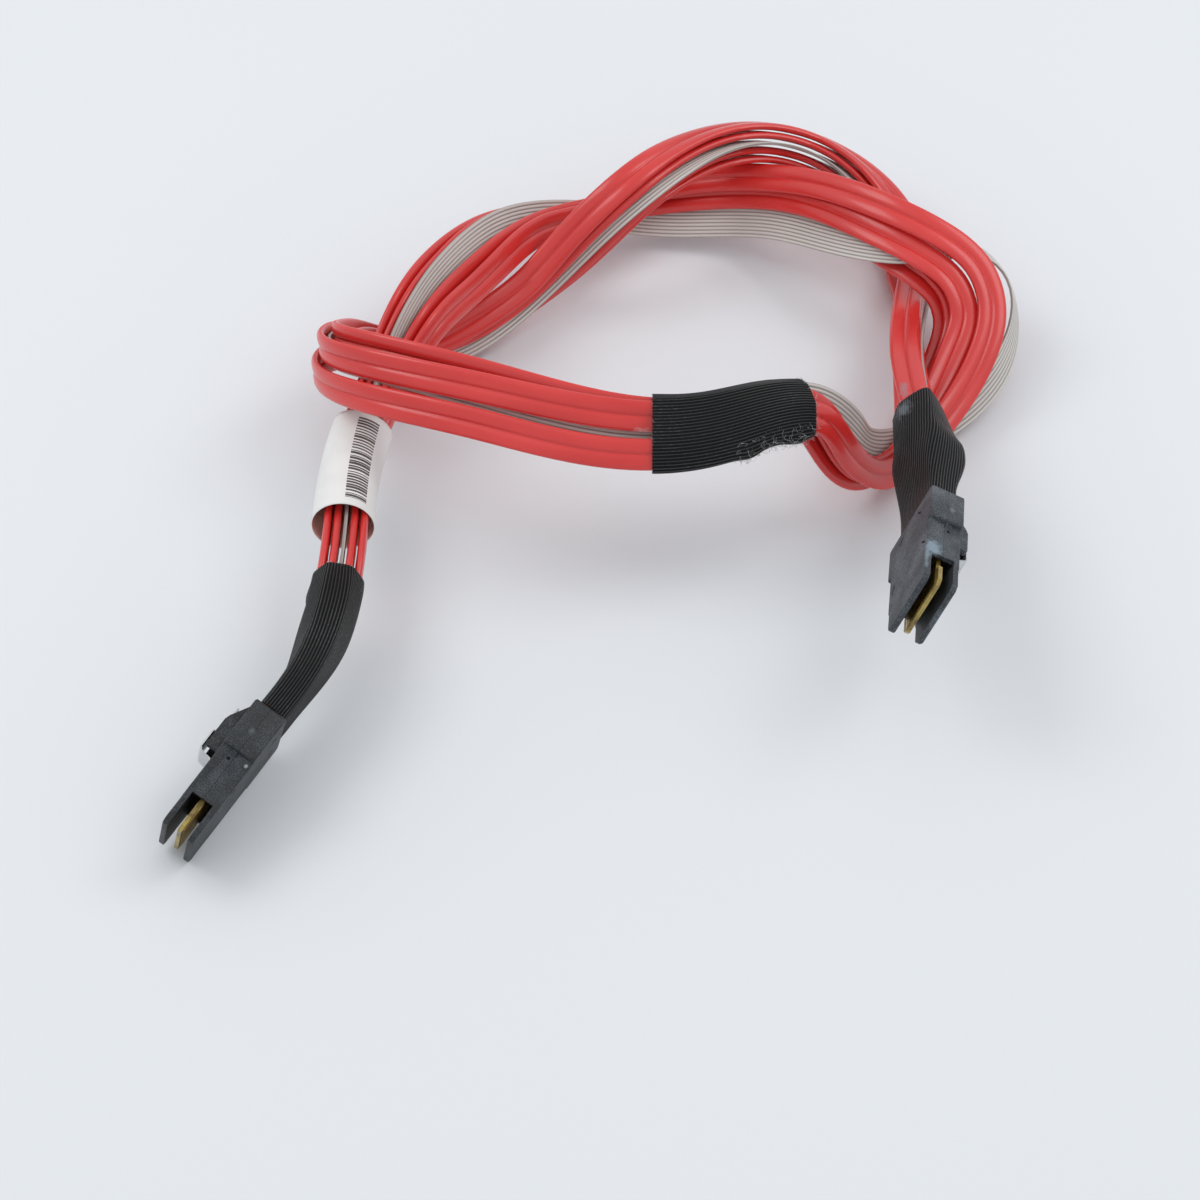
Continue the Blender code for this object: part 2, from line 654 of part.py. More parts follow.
def make_card(plug, frame):
    """The paddle card: wide where the shells hold it, a neck, a wide front."""
    held = BODY_WIDTH / 2 - SIDE_WALL - FIT_GAP
    neck = CARD_NECK_WIDTH / 2
    front = CARD_FRONT_WIDTH / 2
    rear = POTTING_END_Y + FIT_GAP
    half = [
        (rear, held), (CARD_NECK[0], held), (CARD_NECK[0], neck), (CARD_NECK[1], neck),
        (CARD_NECK[1], front), (CARD_FRONT_Y - CARD_CHAMFER, front),
        (CARD_FRONT_Y, front - CARD_CHAMFER),
    ]
    outline = half + [(y, -z) for y, z in reversed(half)]
    t = CARD_THICKNESS / 2
    mesh = outline_mesh(plug + "_paddle_card", outline, -t, t, "yzx")
    add_object(plug + "_paddle_card", mesh, PARTS, "card_laminate", frame)


def comb_outline():
    """Contact fingers in a row, joined by a bar that the shells hide."""
    tip = CARD_FRONT_Y - CONTACT_FRONT_INSET
    first = -(CONTACT_COUNT - 1) / 2 * CONTACT_PITCH
    last = first + (CONTACT_COUNT - 1) * CONTACT_PITCH
    half = CONTACT_WIDTH / 2
    points = [(COMB_BAR[0], last + half), (COMB_BAR[0], first - half)]
    for i in range(CONTACT_COUNT):
        z = first + i * CONTACT_PITCH
        points += [(tip, z - half), (tip, z + half)]
        if i < CONTACT_COUNT - 1:
            points += [(COMB_BAR[1], z + half), (COMB_BAR[1], z + CONTACT_PITCH - half)]
    return points


def make_contacts(plug, frame):
    inner = CARD_THICKNESS / 2 + CONTACT_GAP
    for label, sign in (("contacts_latch_side", 1), ("contacts_plain_side", -1)):
        name = plug + "_" + label
        span = sorted((sign * inner, sign * (inner + CONTACT_THICKNESS)))
        mesh = outline_mesh(name, comb_outline(), span[0], span[1], "yzx")
        add_object(name, mesh, PARTS, "gold_plate", frame)


def make_potting(plug, frame):
    """The block of glue that holds the cable ends and wires behind the card."""
    half = BODY_WIDTH / 2 - SIDE_WALL - FIT_GAP
    deep = PLUG_THICKNESS / 2 - WIDE_WALL - FIT_GAP
    low = (-deep, CABLE_DEPTH + POTTING_REAR_GAP, -half)
    high = (deep, POTTING_END_Y, half)
    name = plug + "_potting"
    block = add_object(name, box_mesh(name, low, high), PARTS, "potting", frame)
    bevel(block, POTTING_BEVEL)


def make_latch(plug, frame):
    """The spring strip: a foot on the shell, a bend, a raised run, a step down
    between the guards and the thumb end.
    Its object's origin lies on the bend that it turns about."""
    face = PLUG_THICKNESS / 2
    low = face + FIT_GAP
    top = face + STRIP_RISE
    heel = STRIP_BEND_Y + STRIP_HEEL
    back, down = STRIP_KNEE
    line = [
        (heel + STRIP_FOOT_LENGTH, low), (heel, low), (STRIP_BEND_Y + STRIP_SHIN, low + STRIP_SHIN),
        (STRIP_BEND_Y, top - down), (STRIP_BEND_Y - back, top), (STRIP_STEP[0], top),
        (STRIP_STEP[1], top - STRIP_STEP_DROP), (STRIP_END_Y, top - STRIP_END_DROP),
    ]
    origin = Vector((low, LATCH_AXIS_Y, 0.0))
    half = STRIP_WIDTH / 2
    rings = []
    for y, x in line:
        rings.append([Vector((x, y, z)) - origin for z in (-half, 0.0, half)])
    name = plug + "_latch"
    latch = add_object(name, loft(name, rings, "open_sheet"), PARTS, "stainless", frame)
    latch.location = origin * MM
    sheet = latch.modifiers.new("sheet", "SOLIDIFY")
    sheet.thickness = STRIP_THICKNESS * MM
    sheet.offset = 1.0 if latch.data.polygons[0].normal.x > 0 else -1.0


def make_plug(plug):
    frame = plug_frame(plug)
    make_shell(plug, frame, -1, "black_nylon")
    make_shell(plug, frame, 1, "black_nylon")
    make_card(plug, frame)
    make_contacts(plug, frame)
    make_potting(plug, frame)
    make_latch(plug, frame)


clear_scene()
PARTS = new_collection(ASSEMBLY)
CUTTERS = new_collection("cutters")
BUNDLE = Bundle()
make_cables(BUNDLE)
make_sleeves_and_label(BUNDLE)
for plug_name in PLUGS:
    make_plug(plug_name)
bpy.context.view_layer.update()
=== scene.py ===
# %% [markdown]
# # An internal data cable, thrown down in two loops
# The real thing carries data between boards inside a computer. Four red flat
# cables and one grey ribbon run side by side, black woven sleeves keep them
# together, and a black latching plug sits on each end. This lesson dresses a
# model whose pieces already have their true places: the frame.

import math

import bmesh
import bpy
import numpy as np
from mathutils import Matrix, Vector


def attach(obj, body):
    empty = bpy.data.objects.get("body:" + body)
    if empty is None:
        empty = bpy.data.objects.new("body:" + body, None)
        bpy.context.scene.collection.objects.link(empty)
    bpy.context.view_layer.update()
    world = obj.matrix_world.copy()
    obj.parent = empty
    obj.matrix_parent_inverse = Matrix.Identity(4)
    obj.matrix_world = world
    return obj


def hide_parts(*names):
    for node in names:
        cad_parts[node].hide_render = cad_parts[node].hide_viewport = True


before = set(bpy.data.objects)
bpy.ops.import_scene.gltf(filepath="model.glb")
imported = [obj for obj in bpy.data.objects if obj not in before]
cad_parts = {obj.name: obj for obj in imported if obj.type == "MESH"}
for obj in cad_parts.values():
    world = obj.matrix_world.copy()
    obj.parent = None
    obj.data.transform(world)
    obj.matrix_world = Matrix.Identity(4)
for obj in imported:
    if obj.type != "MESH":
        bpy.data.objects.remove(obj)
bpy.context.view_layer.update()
MM = 0.001

# %% [markdown]
# ## Small helpers
# Colours are written as the hex values that a colour picker shows, and one
# function turns them to the linear values that Blender's shaders expect. One
# other adds a node of any kind, with its settings and links. An input takes a
# value, a socket, or a node, whose first output is then linked.

# %% Colour and node helpers
def linear(code):
    values = [int(code[i:i + 2], 16) / 255 for i in (1, 3, 5)]
    parts = [v / 12.92 if v <= 0.04045 else ((v + 0.055) / 1.055) ** 2.4 for v in values]
    return (*parts, 1.0)


def add_node(tree, kind, inputs=None, stops=(), **settings):
    """stops are the places and hex colours of a colour ramp."""
    made = tree.nodes.new(kind)
    for key, value in settings.items():
        setattr(made, key, value)
    for key, value in (inputs or {}).items():
        if isinstance(value, bpy.types.Node):
            value = value.outputs[0]
        if isinstance(value, bpy.types.NodeSocket):
            tree.links.new(value, made.inputs[key])
        else:
            made.inputs[key].default_value = value
    for _ in stops[2:]:
        made.color_ramp.elements.new(0.5)
    for i, (place, code) in enumerate(stops):
        made.color_ramp.elements[i].position = place
        made.color_ramp.elements[i].color = linear(code)
    return made


print("mid grey is", [round(v, 3) for v in linear("#808080")[:3]])

# %% [markdown]
# ## Starting a finish
# Every finish is one Principled shader. A pattern's scale comes from a real size
# in millimetres. Most surfaces here mix a fine grain with broad clouds, because
# no moulded, woven or plated thing has one even colour.

# %% Material helpers
def new_material(name, **values):
    """A Principled material with constants set on the shader's own sockets."""
    finish = bpy.data.materials.new(name)
    finish.use_nodes = True
    shader = finish.node_tree.nodes["Principled BSDF"]
    for key, value in values.items():
        shader.inputs[key.replace("_", " ")].default_value = value
    return finish, finish.node_tree, shader


def feed(shader, **wires):
    """Links nodes or sockets to the shader's own sockets."""
    for key, value in wires.items():
        if isinstance(value, bpy.types.Node):
            value = value.outputs[0]
        shader.id_data.links.new(value, shader.inputs[key.replace("_", " ")])


def scale_for(size):
    """The texture scale at which a pattern changes about every size millimetres."""
    return 1 / (size * MM)


def mottle(tree, spot, fine, coarse, share, details=(2.0, 2.0)):
    """Grain of a fine size with a share of coarse clouds, and the grain alone."""
    grain, clouds = [
        add_node(tree, "ShaderNodeTexNoise", {
            "Vector": spot, "Scale": scale_for(size), "Detail": detail})
        for size, detail in zip((fine, coarse), details)]
    return add_node(tree, "ShaderNodeMix", {0: share, 2: grain, 3: clouds}), grain


def cloudy_material(name, size, stops, detail=2.0, **values):
    """A material whose colour drifts between the stops, in clouds of a size."""
    finish, tree, shader = new_material(name, **values)
    spot = add_node(tree, "ShaderNodeTexCoord").outputs["Object"]
    clouds = add_node(tree, "ShaderNodeTexNoise", {
        "Vector": spot, "Scale": scale_for(size), "Detail": detail})
    feed(shader, Base_Color=add_node(tree, "ShaderNodeValToRGB", {"Fac": clouds}, stops))
    return finish


print("a grain of 0.5 mm has the scale", scale_for(0.5))

# %% [markdown]
# ## Marks of wear
# A scuff or a torn corner is a patch with a ragged edge. The distance from its
# centre, counted in its own radii, is roughened with noise and cut off softly.

# %% A mark on a surface
MARK_GRAIN = 1.1111
MARK_RAGGEDNESS = 1.6
MARK_OUTSIDE, MARK_INSIDE = 1.9, 1.2


def mark(tree, spot, colour, centre, radii, code, strength):
    """Lays a mark over a colour, round a centre and with radii in millimetres."""
    moved = add_node(tree, "ShaderNodeMapping", {
        "Vector": spot, "Location": Vector(centre) * MM, "Scale": Vector(radii) * MM},
        vector_type="TEXTURE")
    far = add_node(tree, "ShaderNodeVectorMath", {0: moved}, operation="LENGTH").outputs["Value"]
    torn = add_node(tree, "ShaderNodeTexNoise", {
        "Vector": spot, "Scale": scale_for(MARK_GRAIN), "Detail": 4.0})
    edge = add_node(
        tree, "ShaderNodeMath", {0: torn, 1: MARK_RAGGEDNESS, 2: far}, operation="MULTIPLY_ADD")
    share = add_node(tree, "ShaderNodeMapRange", {
        0: edge, 1: MARK_OUTSIDE, 2: MARK_INSIDE, 3: 0.0, 4: strength})
    return add_node(
        tree, "ShaderNodeMix", {0: share, 6: colour, 7: linear(code)}, data_type="RGBA").outputs[2]


print("marks break up every", MARK_GRAIN, "mm")

# %% [markdown]
# ## Camera
# The photograph was taken from the front, looking down at 50 degrees, with a
# lens that sees 24.7 degrees across its square frame. The focal length below
# is that of the photograph in its own 1200 pixels. The camera looks at the
# floor point that lies in the middle of the picture.

# %% The photograph's camera
PICTURE = 1200
FOCAL_PIXELS = 2742
SENSOR = 36.0
ELEVATION = math.radians(50)
DISTANCE = 675 * MM
FLOOR_POINT = Vector((-4.48, -30.83, 0.0)) * MM

camera_data = bpy.data.cameras.new("photo_camera")
camera_data.sensor_width = SENSOR
camera_data.lens = SENSOR * FOCAL_PIXELS / PICTURE
camera = bpy.data.objects.new("photo_camera", camera_data)
bpy.context.scene.collection.objects.link(camera)
camera.location = FLOOR_POINT + DISTANCE * Vector((0.0, -math.cos(ELEVATION), math.sin(ELEVATION)))
camera.rotation_euler = (math.pi / 2 - ELEVATION, 0.0, 0.0)
bpy.context.scene.camera = camera
print("lens", round(camera_data.lens, 2), "mm, camera at", [round(v, 4) for v in camera.location])

# %% [markdown]
# ## Light
# The shadows in the photograph fall away from two wide soft lamps, one at each
# side and a little behind. Together with a pale world they light a level
# white surface to about white, so a colour renders about as it is written.

# %% Two soft lamps and a pale world
LAMP_WAYS = {"left_lamp": (-0.705, 0.158, 1.0), "right_lamp": (0.705, 0.158, 1.0)}
LAMP_DISTANCE = 0.9
LAMP_SIZE = 0.42
LAMP_WATTS = 1.4
WORLD_STRENGTH = 0.78

for name, way in LAMP_WAYS.items():
    lamp_data = bpy.data.lights.new(name, "AREA")
    lamp_data.shape = "SQUARE"
    lamp_data.size = LAMP_SIZE
    lamp_data.energy = LAMP_WATTS
    lamp = bpy.data.objects.new(name, lamp_data)
    bpy.context.scene.collection.objects.link(lamp)
    lamp.location = Vector(way).normalized() * LAMP_DISTANCE
    lamp.rotation_euler = Vector(way).to_track_quat("Z", "Y").to_euler()

world = bpy.data.worlds.new("pale_studio")
world.use_nodes = True
backdrop = world.node_tree.nodes["Background"].inputs
backdrop["Color"].default_value = linear("#FBFCFF")
backdrop["Strength"].default_value = WORLD_STRENGTH
bpy.context.scene.world = world
bpy.context.scene.view_settings.view_transform = "Standard"
print("lamps:", len(LAMP_WAYS), "world strength:", WORLD_STRENGTH)

# %% [markdown]
# ## Floor
# A wide sheet of pale studio paper lies under the cable. It is matt, so it
# shows soft shadows and no reflection.

# %% A plain floor
FLOOR_HALF = 3.0
floor_mesh = bpy.data.meshes.new("floor")
corners = [(-1, -1), (1, -1), (1, 1), (-1, 1)]
floor_mesh.from_pydata([(x * FLOOR_HALF, y * FLOOR_HALF, 0.0) for x, y in corners], [], [(0, 1, 2, 3)])
floor = bpy.data.objects.new("floor", floor_mesh)
bpy.context.scene.collection.objects.link(floor)
floor_mesh.materials.append(new_material(
    "studio_paper", Base_Color=linear("#E6EAED"), Roughness=0.9, Specular_IOR_Level=0.1)[0])
print("floor:", 2 * FLOOR_HALF, "m wide")

# %% [markdown]
# ## The route of the bundle
# A cable in the hand bends as one bundle, so one route leads all five. Each
# row is a point of it, from plug 1 to plug 2: place in millimetres, roll of
# the stack, sideways shift of flats 1 and 2, the ribbon and flats 3 and 4,
# extra roll of the ribbon, and how far the stack is spread into two rows, as
# it is in the plugs. A natural cubic spline runs through the rows.

# %% Route points, in millimetres and degrees
ROUTE = [
    (-79.1, -54.2, 14.9, -110.2, 0, 0, 0, 0, 0, 0, 1.3),
    (-69.2, -39, 18.1, -108.5, 0, 0, 0, 0, 0, 0, 0.85),
    (-61.6, -4.3, 21.4, -96.5, 0.3, 0, 0, 0, 0.2, 0, 0),
    (-60.8, 25.5, 19.4, -93.4, 0, 0, 0, 0, -0.2, 0, 0),
    (-55.1, 50.2, 22.6, -84, 1, 0.4, -0.7, -0.5, -0.5, 0, 0),
    (-46.1, 65.8, 33.1, -71, 3.3, 1.9, -1.8, -1.9, -2.7, 0, 0),
    (-39.2, 80.8, 31, -66, 4.6, 2, -3.1, -3, -4.2, 0, 0),
    (-30.4, 97.1, 27, -60, 4.2, 2, -3.4, -3.5, -3.9, 0, 0),
    (-17.4, 115.7, 18.5, -50, 1.6, 0.5, -2.5, -2, -2.6, 0, 0),
    (-2.2, 127.1, 12.9, -44, 1, 0, 1, 0, 0, 0, 0),
    (13.7, 132.3, 11.1, -40, -3, -0.3, 4.9, -2, 0, 0, 0),
    (46.1, 126.4, 17.5, -40, -5.3, -0.9, 6.4, -5, -1, 0, 0),
    (73.5, 101.9, 27.9, -32, -6, 0.4, 4, -3, 3, -3, 0),
    (85.4, 93.9, 27.2, -21, -5.4, 1.4, -3, 0.5, 4, 3, 0),
    (93.6, 87.6, 23.8, -8, -4.9, 2.3, -11.5, 2.5, 4.9, 58, 0),
    (96.2, 79.6, 18.8, 8, -4.5, 2.3, -11.7, 2.9, 5.1, 61, 0),
    (93.2, 69.9, 13.9, 18, -4.4, 2.6, -10.1, 2.8, 4.8, 33, 0),
    (79.9, 49.4, 7.6, 38, -3.1, 0, -1.4, 0, 0, 0, 0),
    (67.4, 36, 12.4, 52, -4.3, -3.3, 4.2, -2.2, -4.1, 0, 0),
    (50.6, 29.2, 36.8, 46, -2.1, 0.7, 2.8, 1.8, -1.9, 0, 0),
    (27, 19, 41, 40, -4.1, 3.7, 1.9, 4.6, -1, 0, 0),
    (-28, 26.8, 41, 46, -4.4, 4.1, 2.6, 6.9, 0, 0, 0),
    (-56.5, 39.5, 38.5, 66, -4.2, 3.6, 2.7, 6.6, 1, 0, 0),
    (-67.1, 54.3, 30.5, 93, -3.6, 3.3, 1.4, 5, 1.5, 0, 0),
    (-65.5, 62.9, 25, 104, -3, 2.8, 1, 3.5, 1, 0, 0),
    (-59.1, 73.7, 15, 114, -2.5, 1.5, -1, 1.5, 0.5, 0, 0),
    (-47, 80.9, 8.6, 125, -2.5, -0.5, -3.5, 0, 0, 0, 0),
    (-32.5, 88.6, 10, 134, -3, -2, -4, -1, 0.5, 0, 0),
    (-18.1, 100.3, 13.5, 140, -4, -3.6, -2.9, -1, 0.5, 0, 0),
    (7.9, 113.2, 33, 165, -3, -3, -2.7, -0.4, 1, 0, 0),
    (22.7, 126.1, 33, 192, -1, -1, -2.6, 0, 0.5, 0, 0),
    (39, 135.2, 30.6, 212, 0, 0, -2.4, 0, 0, 0, 0),
    (70.2, 138, 15.1, 204, 0, -0.8, -1.2, 0, 0, 0, 0),
    (80.3, 129, 9, 190, -1, -1.6, 0, 0, 0, 0, 0),
    (84.9, 116.7, 6, 176, -3, -3.9, 1, 0, 0, 0, 0),
    (83.8, 100.5, 8.5, 168, -2, -2, 1, 0, 0, 0, 0),
    (78.6, 62.5, 20.8, 162, 0, 0, 0, 0, 0, 0, 0),
    (78.9, 26.8, 27.6, 140, 0, 0, 0, 0, 0, 0, 0.25),
    (78.6, 6.2, 29.8, 115, 0, 0, 0, 0, 0, 0, 0.95),
    (76.6, -9.1, 33.9, 111.4, 0, 0, 0, 0, 0, 0, 1.3),
]
print("route points:", len(ROUTE))

# %% [markdown]
# ## Reading the spline
# The spline's second derivatives come from a small linear system. At any
# place along the route the stack has a centre, a width direction and a layer
# direction, and each cable keeps to its own layer.

# %% Sizes of the cables and their layers, in millimetres
FLAT_WIDTH = 7.6
FLAT_THICKNESS = 2.0
RIBBON_WIDTH = 8.0
RIBBON_THICKNESS = 0.8
LAYER_GAP = 0.38
RIBBON_GAP = 0.62
PAIR_GAP = 0.4
CABLES = ["red_flat_1", "red_flat_2", "grey_ribbon", "red_flat_3", "red_flat_4"]
RIBBON = 2
NEAR_LAYER = RIBBON_THICKNESS / 2 + RIBBON_GAP + FLAT_THICKNESS / 2
FAR_LAYER = NEAR_LAYER + FLAT_THICKNESS + LAYER_GAP
PAIR_LAYER = RIBBON_THICKNESS / 2 + PAIR_GAP + FLAT_THICKNESS / 2
PAIR_SIDE = (FLAT_WIDTH + PAIR_GAP) / 2
STACK_LAYERS = [FAR_LAYER, NEAR_LAYER, 0.0, -NEAR_LAYER, -FAR_LAYER]
PAIR_LAYERS = [PAIR_LAYER, PAIR_LAYER, 0.0, -PAIR_LAYER, -PAIR_LAYER]
PAIR_SHIFTS = [PAIR_SIDE, -PAIR_SIDE, 0.0, -PAIR_SIDE, PAIR_SIDE]
print("layers:", [round(v, 2) for v in STACK_LAYERS])

# %% The bundle's spline
def unit(rows):
    return rows / np.linalg.norm(rows, axis=1)[:, None]


def smooth(share):
    share = np.clip(share, 0.0, 1.0)
    return share * share * (3 - 2 * share)


table = np.array(ROUTE, float)
ROWS = table[:, :10].copy()
ROWS[:, :3] += np.array(FLOOR_POINT) / MM
SPREAD = table[:, 10]
KNOTS = np.concatenate([[0.0], np.cumsum(np.linalg.norm(np.diff(table[:, :3], axis=0), axis=1))])
LENGTH = KNOTS[-1]


def natural_spline(knots, rows):
    gaps = np.diff(knots)
    matrix = np.eye(len(knots))
    right = np.zeros_like(rows)
    for i in range(1, len(knots) - 1):
        matrix[i, i - 1:i + 2] = gaps[i - 1], 2 * (gaps[i - 1] + gaps[i]), gaps[i]
        right[i] = 6 * ((rows[i + 1] - rows[i]) / gaps[i] - (rows[i] - rows[i - 1]) / gaps[i - 1])
    return np.linalg.solve(matrix, right)


SECONDS = natural_spline(KNOTS, ROWS)


def read(where):
    i = np.clip(np.searchsorted(KNOTS, where, side="right") - 1, 0, len(KNOTS) - 2)
    gap = KNOTS[i + 1] - KNOTS[i]
    a = ((KNOTS[i + 1] - where) / gap)[:, None]
    b = ((where - KNOTS[i]) / gap)[:, None]
    bend = ((a ** 3 - a) * SECONDS[i] + (b ** 3 - b) * SECONDS[i + 1]) * (gap ** 2 / 6)[:, None]
    return a * ROWS[i] + b * ROWS[i + 1] + bend


print("route length:", round(LENGTH, 1), "mm")

# %% Directions of the stack and of each cable
STACK_STEP = 0.01
CABLE_STEP = 0.05
SHIFTED_AT = 0.45
FLATTENED_FROM = 0.4


def stack_frames(where):
    """Centre, width direction and layer direction of the whole stack."""
    state = read(where)
    ahead = read(np.minimum(where + STACK_STEP, LENGTH))[:, :3]
    heading = unit(ahead - read(np.maximum(where - STACK_STEP, 0.0))[:, :3])
    side = unit(np.cross(heading, (0.0, 0.0, 1.0)))
    up = np.cross(side, heading)
    roll = np.radians(state[:, 3])[:, None]
    return state, np.cos(roll) * side + np.sin(roll) * up, np.cos(roll) * up - np.sin(roll) * side


def cable_places(where, cable):
    """A cable's sideways shift and layer. Near a plug the stack opens into two rows."""
    spread = np.interp(where, KNOTS, SPREAD)
    flatten = smooth((spread - FLATTENED_FROM) / (1 - FLATTENED_FROM))
    shift = read(where)[:, 4 + cable] + smooth(spread / SHIFTED_AT) * PAIR_SHIFTS[cable]
    return shift, (1 - flatten) * STACK_LAYERS[cable] + flatten * PAIR_LAYERS[cable]


def cable_centre(where, cable):
    state, across, layers = stack_frames(where)
    shift, layer = cable_places(where, cable)
    return state[:, :3] + shift[:, None] * across + layer[:, None] * layers


def cable_frames(where, cable):
    """Centre, width direction and thickness direction of one cable."""
    state, across, layers = stack_frames(where)
    ahead = cable_centre(np.clip(where + CABLE_STEP, 0, LENGTH), cable)
    heading = unit(ahead - cable_centre(np.clip(where - CABLE_STEP, 0, LENGTH), cable))
    wide = unit(across - np.sum(across * heading, axis=1)[:, None] * heading)
    thick = np.cross(heading, wide)
    thick *= np.sign(np.sum(thick * layers, axis=1))[:, None]
    if cable == RIBBON:
        turn = np.radians(state[:, 9])[:, None]
        wide, thick = (np.cos(turn) * wide + np.sin(turn) * thick,
                       np.cos(turn) * thick - np.sin(turn) * wide)
    return cable_centre(where, cable), wide, thick


print("plug 1 end of the stack:", cable_centre(np.zeros(1), RIBBON)[0].round(1))

# %% [markdown]
# ## Skins through rings
# A cable, a sleeve and a label are each a skin drawn through many rings of
# points. The skin also gets a UV map: u runs round or across the piece and v
# along it, both in metres, so that a pattern follows the cable round its bends.

# %% Skin maker
SKIN_SHARP = math.radians(50)


def put(name, mesh, *finishes):
    """Adds a finished mesh to the scene as a piece on the root body."""
    piece = bpy.data.objects.new(name, mesh)
    bpy.context.scene.collection.objects.link(piece)
    for finish in finishes:
        mesh.materials.append(finish)
    return piece


def skin(name, rings, around, along, closed=True, caps=True):
    """rings: (stations, points, 3) in mm. around and along: UV places in mm."""
    rings = np.asarray(rings) * MM
    count, sides = rings.shape[:2]
    faces = []
    spots = []
    last = sides if closed else sides - 1
    for i in range(count - 1):
        for j in range(last):
            k = (j + 1) % sides
            faces.append((i * sides + j, i * sides + k, (i + 1) * sides + k, (i + 1) * sides + j))
            spots += [(around[j], along[i]), (around[j + 1], along[i]),
                      (around[j + 1], along[i + 1]), (around[j], along[i + 1])]
    if caps:
        for row, order in ((0, range(sides - 1, -1, -1)), (count - 1, range(sides))):
            faces.append(tuple(row * sides + j for j in order))
            spots += [(around[j], along[row]) for j in order]
    mesh = bpy.data.meshes.new(name)
    mesh.from_pydata(rings.reshape(-1, 3).tolist(), [], faces)
    layer = mesh.uv_layers.new(name="along")
    layer.data.foreach_set("uv", (np.array(spots, float) * MM).ravel())
    shape = bmesh.new()
    shape.from_mesh(mesh)
    if caps and shape.calc_volume(signed=True) < 0:
        bmesh.ops.reverse_faces(shape, faces=shape.faces)
    shape.to_mesh(mesh)
    shape.free()
    mesh.shade_smooth()
    if caps:
        mesh.set_sharp_from_angle(angle=SKIN_SHARP)
    return mesh


print("skins turn sharp above", round(math.degrees(SKIN_SHARP)), "degrees")

# %% Places along the route
FINE_STEPS = 6000
STRAIGHT_AS = 60.0


def steps_along(count):
    """Places closer together where the route bends. A straight run counts as a
    bend of radius STRAIGHT_AS."""
    fine = np.linspace(0.0, LENGTH, FINE_STEPS)
    heading = unit(np.gradient(read(fine)[:, :3], fine, axis=0))
    bend = np.linalg.norm(np.gradient(heading, fine, axis=0), axis=1)
    density = np.sqrt(bend + 1 / STRAIGHT_AS)
    total = np.concatenate([[0.0], np.cumsum((density[1:] + density[:-1]) / 2 * np.diff(fine))])
    return np.interp(np.linspace(0.0, total[-1], count), total, fine)


print("five places:", steps_along(5).round(1))

# %% [markdown]
# ## Red PVC
# The flat cables have a jacket of soft PVC, extruded over two pairs of
# conductors. Fresh from the die it is glossy, with long faint drawing lines,
# so each lobe carries a bright streak. Light sinks a little way in, which makes
# the grooves glow a deeper red. Two places are rubbed pale and grey.

# %% Red jacket
RUBBED_RED = [((6.2, -14.8, 42.7), (3.0, 1.4, 1.6), "#E9C3C0", 0.5),
              ((70.7, 12.5, 31.5), (1.5, 4.0, 3.0), "#84858C", 0.75)]


def along_noise(tree, width, length, detail=2.0):
    """Noise stretched along the piece's own UV map, by its width and length in mm."""
    uv = add_node(tree, "ShaderNodeUVMap", uv_map="along")
    stretched = add_node(tree, "ShaderNodeMapping", {
        "Vector": uv, "Scale": (scale_for(width), scale_for(length), 1.0)})
    return add_node(tree, "ShaderNodeTexNoise", {"Vector": stretched, "Scale": 1.0, "Detail": detail})


def red_pvc():
    finish, tree, shader = new_material(
        "soft_red_pvc", IOR=1.53, Coat_Weight=0.4, Coat_Roughness=0.14,
        Subsurface_Weight=0.15, Subsurface_Scale=0.0015, Subsurface_Radius=(1.0, 0.3, 0.2))
    lines = along_noise(tree, 0.4, 33.333)
    patches = along_noise(tree, 16.667, 40.0, 3.0)
    colour = add_node(
        tree, "ShaderNodeValToRGB", {"Fac": patches}, [(0.3, "#C9211E"), (0.7, "#DA3430")])
    spot = add_node(tree, "ShaderNodeTexCoord").outputs["Object"]
    for rubbed in RUBBED_RED:
        colour = mark(tree, spot, colour, *rubbed)
    rough = add_node(tree, "ShaderNodeMapRange", {0: patches, 1: 0.3, 2: 0.7, 3: 0.27, 4: 0.4})
    bump = add_node(tree, "ShaderNodeBump", {"Height": lines, "Strength": 0.25, "Distance": 0.06 * MM})
    feed(shader, Base_Color=colour, Roughness=rough, Normal=bump)
    return finish


RED = red_pvc()
print("red jacket:", RED.name)

# %% [markdown]
# ## Grey PVC
# The ribbon is a satin grey PVC, extruded with a low ridge over each of its
# eight wires. The valleys are painted darker than the ridges: painted shade.

# %% Grey jacket
RIBBON_PITCH = 1.0


def grey_pvc():
    finish, tree, shader = new_material("satin_grey_ribbon_pvc", Roughness=0.4, IOR=1.5)
    uv = add_node(tree, "ShaderNodeUVMap", uv_map="along")
    across = add_node(tree, "ShaderNodeSeparateXYZ", {"Vector": uv})
    # A wave across the ribbon, lowest over each valley, darkens the grooves: painted shade.
    turn = add_node(tree, "ShaderNodeMath", {
        0: across, 1: 2 * math.pi * scale_for(RIBBON_PITCH)}, operation="MULTIPLY")
    wave = add_node(tree, "ShaderNodeMath", {0: turn}, operation="COSINE")
    ridge = add_node(tree, "ShaderNodeMath", {0: wave, 1: -0.5, 2: 0.5}, operation="MULTIPLY_ADD")
    mixed = add_node(tree, "ShaderNodeMix", {0: 0.3, 2: ridge, 3: along_noise(tree, 25.0, 33.333, 3.0)})
    stops = [(0.1, "#86827D"), (0.4, "#C0BCB6"), (0.85, "#D5D1CB")]
    feed(shader, Base_Color=add_node(tree, "ShaderNodeValToRGB", {"Fac": mixed}, stops))
    return finish


GREY = grey_pvc()
print("grey jacket:", GREY.name)

# %% [markdown]
# ## The five cables
# A flat cable is a skin through 400 rings. Its profile has two lobes, one over
# each pair, and a groove between them. The ribbon has eight low ridges.

